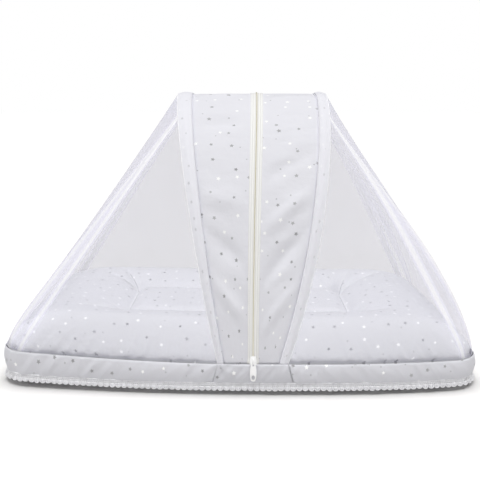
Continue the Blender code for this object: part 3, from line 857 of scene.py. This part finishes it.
def make_lace(material):
    """The lace edging: one scallop after another, flared a little towards the floor."""
    unit = lace_unit()
    count = round(PERIMETER / SCALLOP_PITCH)
    stretch = PERIMETER / (count * SCALLOP_PITCH)
    bm = bmesh.new()
    for number in range(count):
        for vert in add_copy(bm, unit):
            metres = (number * SCALLOP_PITCH + vert.co.x) * stretch
            down = limit(vert.co.y / LACE_DROP)
            wave = LACE_WAVE * ripple(metres * 34, 0.0, 7.0) * down
            out = blend(LACE_OUT, LACE_FLARE, down) + wave + vert.co.z
            drop = min(vert.co.y * (1 + 0.10 * ripple(metres * 60, 0.0, 12.0)), LACE_DROP)
            vert.co = outline(metres / PERIMETER, LACE_THICK - out, LACE_TOP + LACE_OVER - drop)
            vert.co.z += LACE_RAISE + LACE_LIFT * smooth(-0.1 - vert.co.x / 0.5)
    bmesh.ops.reverse_faces(bm, faces=bm.faces)
    bpy.data.meshes.remove(unit)
    lace = finish_piece("lace_edging", bm, material, "lace_trim")
    return lace


# ---- cotton over the hoops

PANEL_COLUMNS = 44
PANEL_ROWS = 470
PANEL_THICK = 0.0012
PANEL_LAP = 0.006
PANEL_LIFT = 0.0010
PANEL_TUCK = 0.0030       # how far it is drawn down at the sleeve's seam
PANEL_FOLDS = {
    # a share of the arch, how far the fold climbs across the panel, height, width in metres
    "left": (
        (0.075, 0.050, 0.0075, 0.0187),
        (0.140, 0.040, -0.00675, 0.0204),
        (0.205, 0.020, 0.0060, 0.0204),
        (0.345, -0.020, -0.00525, 0.0238),
        (0.455, -0.015, 0.0045, 0.0187),
        (0.690, 0.020, -0.0060, 0.0238),
        (0.850, -0.040, 0.00675, 0.0204),
    ),
    "right": (
        (0.065, 0.060, 0.0075, 0.0187),
        (0.130, 0.070, -0.0075, 0.0204),
        (0.190, 0.060, 0.0075, 0.0187),
        (0.260, 0.050, -0.00525, 0.0221),
        (0.440, 0.020, 0.0045, 0.0187),
        (0.720, -0.030, 0.0060, 0.0238),
        (0.880, -0.050, -0.00675, 0.0204),
    ),
}
FOLD_SPAN = 1.42          # metres of cloth for a fold's share of the arch
PANEL_SLANT = {"left": 0.035, "right": 0.075}
PANEL_WAVES = ((0.0018, 26, 1.3, 3.0), (0.0008, 60, 2.0, 5.0))
PANEL_END = 0.04          # the folds fade out towards each foot


def panel_relief(sleeve, across, along):
    """The folds of a cotton panel; across is 0 at the sleeve and 1 at the zip."""
    name, side = sleeve["name"], sleeve["side"]
    relief = 0.0
    for at, climb, height, width in PANEL_FOLDS[name]:
        crossing = at + climb * (0.5 - across)
        relief += height * hump((along - crossing) * FOLD_SPAN, width)
    metres = arch_metres(along)
    slant = PANEL_SLANT[name] * (1 - height_share(along)) * across
    relief += ripples(PANEL_WAVES, metres + slant * (1 if along < 0.5 else -1), across, side)
    at_seam = crease(across, 0.16) + crease(1 - across, 0.16)
    puckers = 0.0005 * ripple(metres * 120, across * 3, side * 7.0) * at_seam
    ends = min(1.0, along / PANEL_END, (1 - along) / PANEL_END)
    return (relief * math.sin(math.pi * across) + puckers) * ends


def make_panel(sleeve, material):
    side = sleeve["side"]
    lap = 2 / PANEL_COLUMNS

    def place(u, v):
        across = min(u / (1 - lap), 1.0)
        sleeve_edge = sleeve_inner_x(sleeve, v) - side * 0.0002
        tape_edge = zip_x(v) + side * (tape_outer(v) + 0.0005)
        hidden = zip_x(v) + side * (tape_outer(v) - PANEL_LAP)
        under = limit((u - (1 - lap)) / lap)
        x = blend(blend(sleeve_edge, tape_edge, across), hidden, under)
        lift = panel_relief(sleeve, across, v) + PANEL_LIFT - PANEL_TUCK * crease(across, 0.045)
        return arch(v, x, lift)

    def flat(u, v):
        return side * u * 0.11 + side * 0.2, arch_metres(v)

    bm = cloth_grid(PANEL_COLUMNS, PANEL_ROWS, place, flat, flip=side > 0)
    panel = finish_piece("cotton_panel_" + sleeve["name"], bm, material,
                         "panel_" + sleeve["name"], PANEL_THICK)


SLEEVE_SIDES = 26
SLEEVE_ROWS = 420
SLEEVE_THICK = 0.0006
SLEEVE_WRINKLES = ((0.0007, 45, 2.5, 2.0), (0.0004, 120, 4, 4.0))


def sleeve_section(turn):
    """Across and out of a sleeve's section, -0.5 to 0.5 each: a flat seam edge on the outer side,
    full over the rod."""
    across = 0.5 * math.cos(turn)
    full = abs(math.sin(turn)) ** 0.8
    return across, 0.5 * math.copysign(full, math.sin(turn)) * (1 - 0.55 * smooth(across * 2.4))


def make_sleeve(sleeve, material):
    """A cloth tunnel with the net over it, its rod inside."""
    side = sleeve["side"]

    def place(u, v):
        across, out = sleeve_section(2 * math.pi * u)
        width = sleeve_width(sleeve, v)
        middle = sleeve_outer_x(sleeve, v) - side * width / 2
        lift = SLEEVE_LIFT + out * SLEEVE_DEPTH * 1.1
        if out > 0:
            lift += ripples(SLEEVE_WRINKLES, arch_metres(v), across, side)
        return arch(v, middle + side * across * width, lift)

    def flat(u, v):
        return side * (0.4 + abs(u - 0.5) * 0.11), arch_metres(v)

    bm = cloth_grid(SLEEVE_SIDES, SLEEVE_ROWS, place, flat)
    bmesh.ops.recalc_face_normals(bm, faces=bm.faces)
    tunnel = finish_piece("hoop_sleeve_" + sleeve["name"], bm, material,
                          "sleeve_" + sleeve["name"], SLEEVE_THICK)


HEM_RADIUS = 0.0012
HEM_LIFT = 0.0014


def make_hem(sleeve, material):
    """The narrow turned edge where the net is sewn to its sleeve."""
    def place(u, v):
        turn = 2 * math.pi * u
        x = sleeve_outer_x(sleeve, v) - sleeve["side"] * (0.0004 - HEM_RADIUS * math.cos(turn))
        return arch(v, x, HEM_LIFT + HEM_RADIUS * math.sin(turn))

    bm = cloth_grid(8, 300, place, lambda u, v: (u * 0.008, arch_metres(v)))
    bmesh.ops.recalc_face_normals(bm, faces=bm.faces)
    finish_piece("net_hem_" + sleeve["name"], bm, material)


# ---- net

NET_COLUMNS = 420
NET_ROWS = 96
NET_CROWDING = 1.7
CORNER_CROWDING = 1.5
NET_CUT = Vector((1.5, 0.6))      # its cloth's length and height in metres
NET_GATHER = 0.018
NET_LINES = {
    # the creases beside the ridges: u at the border, u at the sleeve, width, gain
    "left": (
        (0.290, 0.303, 0.0040, 0.70),
        (0.315, 0.310, 0.0080, 0.50),
        (0.706, 0.694, 0.0045, 0.80),
    ),
    "right": (
        (0.277, 0.305, 0.0040, 0.80),
        (0.308, 0.308, 0.0070, 0.55),
        (0.706, 0.697, 0.0035, 0.50),
        (0.722, 0.700, 0.0035, 0.90),
    ),
}


def between_ridges(u):
    return (u - RIDGE_SHARE) / (1 - 2 * RIDGE_SHARE)


def hoop_share(u):
    """Where on the arch the net's thread at u ends."""
    if u < RIDGE_SHARE:
        return FRONT_RIDGE * u / RIDGE_SHARE
    if u > 1 - RIDGE_SHARE:
        return 1 - (1 - BACK_RIDGE) * (1 - u) / RIDGE_SHARE
    return blend(FRONT_RIDGE, BACK_RIDGE, between_ridges(u))


def crowd(u):
    """Threads stand closer together at the corners of the base."""
    if u <= RIDGE_SHARE:
        return RIDGE_SHARE * (1 - (1 - u / RIDGE_SHARE) ** CORNER_CROWDING)
    if u >= 1 - RIDGE_SHARE:
        return 1 - crowd(1 - u)
    even = (1 - math.cos(math.pi * between_ridges(u))) / 2
    return blend(RIDGE_SHARE, 1 - RIDGE_SHARE, even)


def net_point(sleeve, u, v):
    """A point of a net: u runs from the front foot round the end of the base to the back foot,
    and v from the border up to the sleeve."""
    net = NETS[sleeve["name"]]
    side = sleeve["side"]
    foot_share = (sleeve_outer_x(sleeve, 0.0) + side * NET_SEAM_GAP) / PERIMETER
    back_share = 0.5 - foot_share if side > 0 else -0.5 - foot_share
    share = blend(foot_share, back_share, u)
    low = outline(share, NET_INSET, FOOT)
    if u <= 0.0 or u >= 1.0:
        return low
    along = hoop_share(u)
    high = arch(along, sleeve_outer_x(sleeve, along) + side * NET_SEAM_GAP)
    facing = outward(share)
    at_end = facing.x ** 2
    rise = v / NET_PUFF_HEIGHT
    middle = math.sin(math.pi * v)
    from_foot = min(u, 1 - u)
    push = blend(net["long"], net["end"], at_end) * rise * math.exp(1 - rise)
    push += net["belly"] * at_end * middle * (1 - v) ** BELLY_LEAN
    push -= NET_SAG * (1 - at_end) * middle * math.sin(math.pi * from_foot / RIDGE_SHARE)
    push += RIDGE_HEIGHT * hump((from_foot - RIDGE_SHARE) * 26, 0.6) * middle
    push += 0.0006 * ripple(u * 30, v * 1.6, side * 6.0) * middle * (1 - at_end)
    return blend(low, high, v) + facing * push * min(1.0, 8 * from_foot)


def net_fold_and_light(sleeve, u, v):
    """How folded the net is, along its ridges and creases and in its hems, plus painted light that
    whitens its end strips.
    """
    # The end strips beyond the ridges: denser, and whiter as painted light.
    gathered_and_lit = smooth((min(u, 1 - u) - RIDGE_SHARE + NET_GATHER) / 0.024)
    fold_and_light = gathered_and_lit * (0.15 + 0.05 * ripple(u * 9, v * 0.4, sleeve["side"] * 14.0))
    for foot, top, width, gain in NET_LINES[sleeve["name"]]:
        fold_and_light += gain * hump(u - blend(foot, top, v), width)
    fold_and_light += 0.30 * crease(v, 0.005)
    return limit(fold_and_light)


def make_net(sleeve, material):
    def place(u, v):
        return net_point(sleeve, crowd(u), v ** NET_CROWDING)

    def flat(u, v):
        return crowd(u) * NET_CUT.x, v ** NET_CROWDING * NET_CUT.y

    bm = cloth_grid(NET_COLUMNS, NET_ROWS, place, flat, flip=sleeve["side"] < 0)
    cut = bm.loops.layers.uv["cut"]
    # Real folds and hems, plus painted light on the end strips.
    fold_and_light = bm.verts.layers.float.new("fold_and_light")
    for face in bm.faces:
        for loop in face.loops:
            spot = loop[cut].uv
            loop.vert[fold_and_light] = net_fold_and_light(sleeve, spot.x / NET_CUT.x, spot.y / NET_CUT.y)
    net = finish_piece("tulle_" + sleeve["name"], bm, material, "net_" + sleeve["name"])


# ---- zip

TAPE_COLUMNS = 12
TAPE_ROWS = 470
TAPE_WIDTH = 0.012
TAPE_THICK = 0.0007
TAPE_CURL = 0.010         # metres of tape that curl out beside the slider
TOOTH_PITCH = 0.0017
TOOTH_SIZE = (0.0026, TOOTH_PITCH * 0.78, 0.0022, 1.0)
TOOTH_SHIFT = 0.00125
COIL_START = 0.016
COIL_END_GAP = 0.003


def make_tape(sleeve, material):
    """A zip tape: its outer part lies on the cotton, its inner edge rises to the coil, and its end
    curls out beside the slider."""
    side = sleeve["side"]

    def place(u, v):
        metres = arch_metres(v)
        curl = hump(metres, TAPE_CURL)
        inner = TAPE_INNER - 0.0020 + 0.0036 * curl
        outer = tape_outer(v) + 0.0012 * curl + 0.0002 * ripple(metres * 40, 0, side * 8.0)
        lift = TAPE_LIFT + 0.0012 * smooth((u - 0.55) / 0.3) + 0.0020 * curl * smooth(u * 1.4)
        lift += 0.0003 * math.cos(u * 6 * math.pi)
        return arch(v, zip_x(v) + side * blend(outer, inner, u), lift)

    def flat(u, v):
        return side * u * TAPE_WIDTH, arch_metres(v)

    bm = cloth_grid(TAPE_COLUMNS, TAPE_ROWS, place, flat, flip=side > 0)
    tape = finish_piece("woven_tape_" + sleeve["name"], bm, material,
                        "zip_tape_" + sleeve["name"], TAPE_THICK)


def make_coil(teeth_material, gap_shade_material):
    """The closed coil: two rows of loops that lock along the zip's line, over a dark cord that
    paints the shade in the gap.
    """
    tooth = bmesh.new()
    bmesh.ops.create_icosphere(tooth, subdivisions=1, radius=0.5)
    pattern = as_mesh("tooth", tooth)
    bm = bmesh.new()
    across = Vector((1.0, 0.0, 0.0))
    for number in range(int((ARCH_LENGTH - COIL_START - COIL_END_GAP) / TOOTH_PITCH)):
        along = arch_share(COIL_START + number * TOOTH_PITCH)
        centre = arch(along, zip_x(along), COIL_LIFT - 0.0004)
        way = (arch(min(along + 0.002, 1.0), zip_x(along), COIL_LIFT) - centre).normalized()
        turn = Matrix((across, way, across.cross(way).normalized())).transposed().to_4x4()
        for side in (-1, 1):
            shift = Vector((side * TOOTH_SHIFT, side * TOOTH_PITCH / 4, 0.0))
            place = Matrix.Translation(centre) @ turn @ Matrix.Translation(shift)
            add_copy(bm, pattern, place @ Matrix.Diagonal(TOOTH_SIZE))
    bpy.data.meshes.remove(pattern)
    finish_piece("coil_teeth", bm, teeth_material, "zip_coil")

    # The dark olive cord under the teeth is painted shade in the gap between the rows.
    def place_shade_cord(u, v):
        along = blend(0.010, 0.999, v)
        turn = 2 * math.pi * u
        return arch(along, zip_x(along) + 0.0008 * math.cos(turn) - 0.0003,
                    COIL_LIFT + 0.0008 + 0.0007 * math.sin(turn))

    shade_cord = cloth_grid(6, 240, place_shade_cord, lambda u, v: (u * 0.004, v * ARCH_LENGTH))
    bmesh.ops.recalc_face_normals(shade_cord, faces=shade_cord.faces)
    finish_piece("coil_line", shade_cord, gap_shade_material)


SLIDER_WIDTH = 0.0142
SLIDER_HEIGHT = 0.0164
SLIDER_TOP = 0.72         # its width at its top, as a share of its width at the foot
SLIDER_CENTRE = 0.0084    # its middle, above the foot of the zip
BRIDGE_HALF_WIDTH = 0.0019
BRIDGE_FOOT = -0.0062
BRIDGE_THICK = 0.0016
BRIDGE_CENTRE = -0.0008


def place_box(bm, size, centre, taper=1.0):
    """A box in the slider's own frame; taper narrows its top."""
    for vert in bmesh.ops.create_cube(bm, size=1.0)["verts"]:
        vert.co *= Vector(size)
        if vert.co.z > 0:
            vert.co.x *= taper
        vert.co += Vector(centre)


def make_slider(material):
    """The slider: two shields joined by a neck, side flanges, and a bridge for the pull."""
    foot = arch(0.0, zip_x(0.0), SLIDER_LIFT)
    middle = Matrix.Translation(foot + Vector((0.0, 0.0, SLIDER_RAISE + SLIDER_CENTRE)))
    bm = bmesh.new()
    place_box(bm, (SLIDER_WIDTH, 0.0014, SLIDER_HEIGHT), (0, -0.0012, 0), SLIDER_TOP)
    place_box(bm, (SLIDER_WIDTH, 0.0012, SLIDER_HEIGHT), (0, 0.0016, 0), SLIDER_TOP)
    place_box(bm, (0.0034, 0.0030, 0.0050), (0, 0.0002, -0.0052))
    for side in (-1, 1):
        place_box(bm, (0.0012, 0.0036, 0.0090), (side * 0.0054, 0.0, -0.0010), 0.86)
    bmesh.ops.bevel(bm, geom=bm.edges[:], offset=0.0004, segments=2, profile=0.5,
                    affect="EDGES", material=-1)
    body = finish_piece("slider_body", bm, material, "zip_slider")
    body.data.transform(middle)
    bridge = bmesh.new()
    foot = [bridge.verts.new((x * BRIDGE_HALF_WIDTH, 0.0, BRIDGE_FOOT + z * BRIDGE_THICK / 2))
            for x, z in ((-1, -1), (1, -1), (1, 1), (-1, 1))]
    bmesh.ops.spin(bridge, geom=[bridge.faces.new(foot)], cent=(0, 0, BRIDGE_CENTRE),
                   axis=(1, 0, 0), angle=-math.pi, steps=10)
    bmesh.ops.scale(bridge, vec=(1.0, 0.62, 1.0), verts=bridge.verts)
    bmesh.ops.translate(bridge, vec=(0.0, -0.0018, 0.0), verts=bridge.verts)
    bmesh.ops.recalc_face_normals(bridge, faces=bridge.faces)
    lug = finish_piece("slider_bridge", bridge, material)
    lug.data.transform(middle)
    return body


PULL_LENGTH = 0.0442
PULL_WIDTH = 0.0132
PULL_NECK = 0.0106
PULL_THICK = 0.0014
PULL_BEVEL = 0.0003
PULL_POINTS = 56
HOLE_POINTS = 28
PULL_TILT = math.radians(4)
PULL_HOLES = (
    # centre below the neck, half width, half height
    (-0.0022, 0.0022, 0.0041),
    (-PULL_LENGTH * 0.69, PULL_WIDTH * 0.29, PULL_LENGTH * 0.120),
)


def pull_loops():
    """The pull's outline, narrow at its neck, and its two holes."""
    neck = PULL_NECK / 2
    tongue = []
    for step in range(PULL_POINTS):
        turn = 2 * math.pi * step / PULL_POINTS
        down = (1 - math.sin(turn)) / 2
        half = blend(neck, PULL_WIDTH / 2, smooth(1.5 * down))
        side = math.copysign(abs(math.cos(turn)) ** 0.55, math.cos(turn))
        tongue.append((half * side, neck - PULL_LENGTH * down))
    turns = [2 * math.pi * step / HOLE_POINTS for step in range(HOLE_POINTS)]
    return [tongue] + [[(wide * math.cos(turn), centre + high * math.sin(turn)) for turn in turns]
                       for centre, wide, high in PULL_HOLES]


def make_pull(material):
    """The pull: a flat tongue with a small hole at its neck and a long one at its foot."""
    curve = bpy.data.curves.new("pull_outline", "CURVE")
    curve.dimensions = "2D"
    curve.fill_mode = "BOTH"
    curve.extrude = PULL_THICK / 2 - PULL_BEVEL
    curve.bevel_depth = PULL_BEVEL
    curve.bevel_resolution = 2
    for loop in pull_loops():
        spline = curve.splines.new("POLY")
        spline.use_cyclic_u = True
        spline.points.add(len(loop) - 1)
        for slot, (x, y) in zip(spline.points, loop):
            slot.co = (x, y, 0.0, 1.0)
    shape = add_object("pull_outline", curve)
    flat = bpy.data.meshes.new_from_object(shape.evaluated_get(
        bpy.context.evaluated_depsgraph_get()))
    bpy.data.objects.remove(shape)
    bm = bmesh.new()
    bm.from_mesh(flat)
    bmesh.ops.remove_doubles(bm, verts=bm.verts, dist=MERGE)
    foot = arch(0.0, zip_x(0.0), SLIDER_LIFT + 0.00355)
    place = Matrix.Translation(foot + Vector((0.0, -0.0004, SLIDER_RAISE + 0.0032)))
    place = place @ Matrix.Rotation(math.radians(90) + PULL_TILT, 4, "X")
    bmesh.ops.transform(bm, matrix=place, verts=bm.verts)
    bmesh.ops.recalc_face_normals(bm, faces=bm.faces)
    pull = finish_piece("pull_tab", bm, material, "zip_pull")
    pull.data.set_sharp_from_angle(angle=math.radians(40))
    return pull


# ---- stitches

STITCH_LENGTH = 0.0026
STITCH_PITCH = 0.0040
STITCH_RADIUS = 0.00035
QUILTING_RADIUS = 0.0007
# The dark stitches along the creases paint their shade.
QUILTED_SHARE = 0.6       # of each crease is stitched
SEAM_INSET = 0.0034       # from a sleeve's edge to its stitches


def make_stitches(name, route, length, material, radius=STITCH_RADIUS):
    """A row of stitches: short rounded threads laid along a route, given in metres along it."""
    thread = bmesh.new()
    bmesh.ops.create_cone(thread, cap_ends=True, segments=5, radius1=radius, radius2=radius,
                          depth=1.0)
    pattern = as_mesh("thread", thread)
    bm = bmesh.new()
    for number in range(int(length / STITCH_PITCH)):
        start = route(number * STITCH_PITCH)
        end = route(number * STITCH_PITCH + STITCH_LENGTH)
        way = end - start
        turn = way.to_track_quat("Z", "Y").to_matrix().to_4x4()
        size = Matrix.Diagonal((1.0, 1.0, way.length, 1.0))
        add_copy(bm, pattern, Matrix.Translation((start + end) / 2) @ turn @ size)
    bpy.data.meshes.remove(pattern)
    finish_piece(name, bm, material)


def make_quilting_and_crease_shade(pad, material):
    """Dark stitched lines on the mattress, between its four tufts and along the creases beside
    them: painted shade in its seams and creases.
    """
    surface = BVHTree.FromObject(pad, bpy.context.evaluated_depsgraph_get())
    tufts = [Vector((x * TUFT_X, y * TUFT_Y)) for x, y in ((-1, -1), (1, -1), (1, 1), (-1, 1))]
    lines = [(tufts[number - 1], tufts[number]) for number in range(4)]
    for x_side, y_side, heading, length, _ in RADIAL_CREASES:
        start, way = crease_line(x_side, y_side, heading)
        lines.append((start, start + way * length * QUILTED_SHARE))
    for number, (start, end) in enumerate(lines):
        length = (end - start).length

        def route(metres, start=start, end=end, length=length):
            above = start.lerp(end, metres / length).to_3d() + CENTRE_SHIFT + Vector((0, 0, 1))
            return surface.ray_cast(above, Vector((0, 0, -1)))[0]

        make_stitches(f"quilting_{number}", route, length, material, QUILTING_RADIUS)


def make_seams(material):
    def border_seam(metres):
        share = metres / PERIMETER
        return outline(share, -0.0010 - band_relief(share, 0.90) * 0.6, BAND_TOP - 0.0036)

    make_stitches("border_stitches", border_seam, PERIMETER, material)
    for sleeve in SLEEVES:
        name, side = sleeve["name"], sleeve["side"]

        def inner_seam(metres, sleeve=sleeve, side=side):
            along = arch_share(metres)
            lift = panel_relief(sleeve, 0.035, along) + 0.0012
            return arch(along, sleeve_inner_x(sleeve, along) - side * SEAM_INSET, lift)

        def tape_seam(metres, side=side):
            along = arch_share(metres)
            across = side * (tape_outer(along) - 0.0022)
            return arch(along, zip_x(along) + across, TAPE_LIFT + 0.0005)

        make_stitches("sleeve_stitches_" + name, inner_seam, ARCH_LENGTH, material)
        make_stitches("tape_stitches_" + name, tape_seam, ARCH_LENGTH, material)


# ---- room, light, camera

FLOOR_REACH = 80.0
CAMERA_LENS = 56.4
CAMERA_PITCH = 10.0
CAMERA_PLACE = (0.0029, -1.8016, 0.5820)
SKY_POWER = 0.12
SUNS = {
    # power, width and tilt to the front in degrees
    "floor_sun": (3.25, 76, -8),
    "cloth_sun": (3.02, 60, 12),
    "low_sun": (0.25, 60, 55),
}


def make_floor():
    bm = bmesh.new()
    bmesh.ops.create_grid(bm, x_segments=1, y_segments=1, size=FLOOR_REACH)
    mesh = as_mesh("floor", bm)
    mesh.materials.append(Shade("pale_floor", (0.94, 0.93, 0.92), 0.95).material)
    floor = add_object("floor", mesh)
    return floor


def make_sky():
    """A weak white sky that the camera sees at full brightness."""
    world = bpy.data.worlds.new("studio")
    bpy.context.scene.world = world
    world.use_nodes = True
    tree = world.node_tree
    sky = tree.nodes["Background"]
    seen = tree.nodes.new("ShaderNodeLightPath")
    amount = tree.nodes.new("ShaderNodeMapRange")
    tree.links.new(seen.outputs["Is Camera Ray"], amount.inputs["Value"])
    amount.inputs["To Min"].default_value = SKY_POWER
    amount.inputs["To Max"].default_value = 1.0
    tree.links.new(amount.outputs["Result"], sky.inputs["Strength"])
    sky.inputs["Color"].default_value = (1.0, 1.0, 1.0, 1.0)


def gather_objects(name, objects):
    group = bpy.data.collections.new(name)
    for item in objects:
        group.objects.link(item)
    return group


def make_lights(floor, low_pieces, front_pieces):
    """Three soft suns: one for the floor, from a little behind, one for the cloth, from a little
    in front, and a weak low one for the mattress, border, lace and slider. Only the low pieces
    hold them back, which leaves a short soft shadow under the lace."""
    off_floor = gather_objects("off_floor", [floor])
    off_floor.collection_objects[0].light_linking.link_state = "EXCLUDE"
    lit = {"floor_sun": gather_objects("on_floor", [floor]), "cloth_sun": off_floor,
           "low_sun": gather_objects("front_pieces", front_pieces)}
    low = gather_objects("low_pieces", low_pieces)
    for name, (power, width, tilt) in SUNS.items():
        data = bpy.data.lights.new(name, "SUN")
        data.energy = power
        data.angle = math.radians(width)
        sun = add_object(name, data)
        sun.rotation_euler.x = math.radians(tilt)
        sun.light_linking.receiver_collection = lit[name]
        sun.light_linking.blocker_collection = low


def make_camera():
    data = bpy.data.cameras.new("camera")
    data.lens = CAMERA_LENS
    data.sensor_width = 36.0
    camera = add_object("camera", data)
    camera.location = CAMERA_PLACE
    camera.rotation_euler.x = math.radians(90 - CAMERA_PITCH)
    bpy.context.scene.camera = camera


# ---- the whole thing

def main():
    cotton = star_cotton("star_cotton", 0.775)
    sleeve_cloth = star_cotton("sleeve_cloth", 0.83, print_share=0.34, wrinkle=0.0008)
    net = tulle()
    hem = plain_thread("net_hem", (0.94, 0.94, 0.97))
    tape = tape_weave()
    rod = enamel("rod_plastic", (0.85, 0.85, 0.85), 0.45)
    white_metal = enamel("white_enamel", (0.98, 0.98, 0.98), 0.30)

    # The border's star cotton is a darker copy of the panels' cloth: painted shade on the upright
    # band.
    front_centre, *bands = make_bands(star_cotton("band_cotton_painted_shade", 0.665))
    # The mattress's star cotton is a darker copy of the panels' cloth: painted shade.
    pad = make_mattress(star_cotton("mattress_cotton_painted_shade", 0.72, wrinkle=0.0020, blue=0.025))
    lace = make_lace(plain_thread("lace_thread", (0.95, 0.95, 1.0)))
    front_pieces = [pad, *bands, lace, make_slider(white_metal), make_pull(white_metal)]
    for sleeve in SLEEVES:
        make_panel(sleeve, cotton)
        make_sleeve(sleeve, sleeve_cloth)
        make_net(sleeve, net)
        make_hem(sleeve, hem)
        make_tape(sleeve, tape)
        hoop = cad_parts["hoop_" + sleeve["name"]]
        hoop.data.materials.clear()
        hoop.data.materials.append(rod)
    # The coil's olive core colour is painted shade in its gap.
    make_coil(enamel("coil_nylon", (0.86, 0.84, 0.78), 0.45),
              enamel("coil_gap_shade", (0.62, 0.58, 0.42), 0.55))
    # Dark thread: painted shade along the mattress's seams and creases.
    make_quilting_and_crease_shade(pad, plain_thread("quilting_crease_shade", (0.26, 0.26, 0.28), 1500.0))
    make_seams(plain_thread("seam_thread", (0.72, 0.72, 0.76), 1500.0))
    make_lights(make_floor(), [front_centre, *front_pieces], front_pieces)
    make_sky()
    make_camera()
    bpy.context.scene.view_settings.view_transform = "Standard"


main()
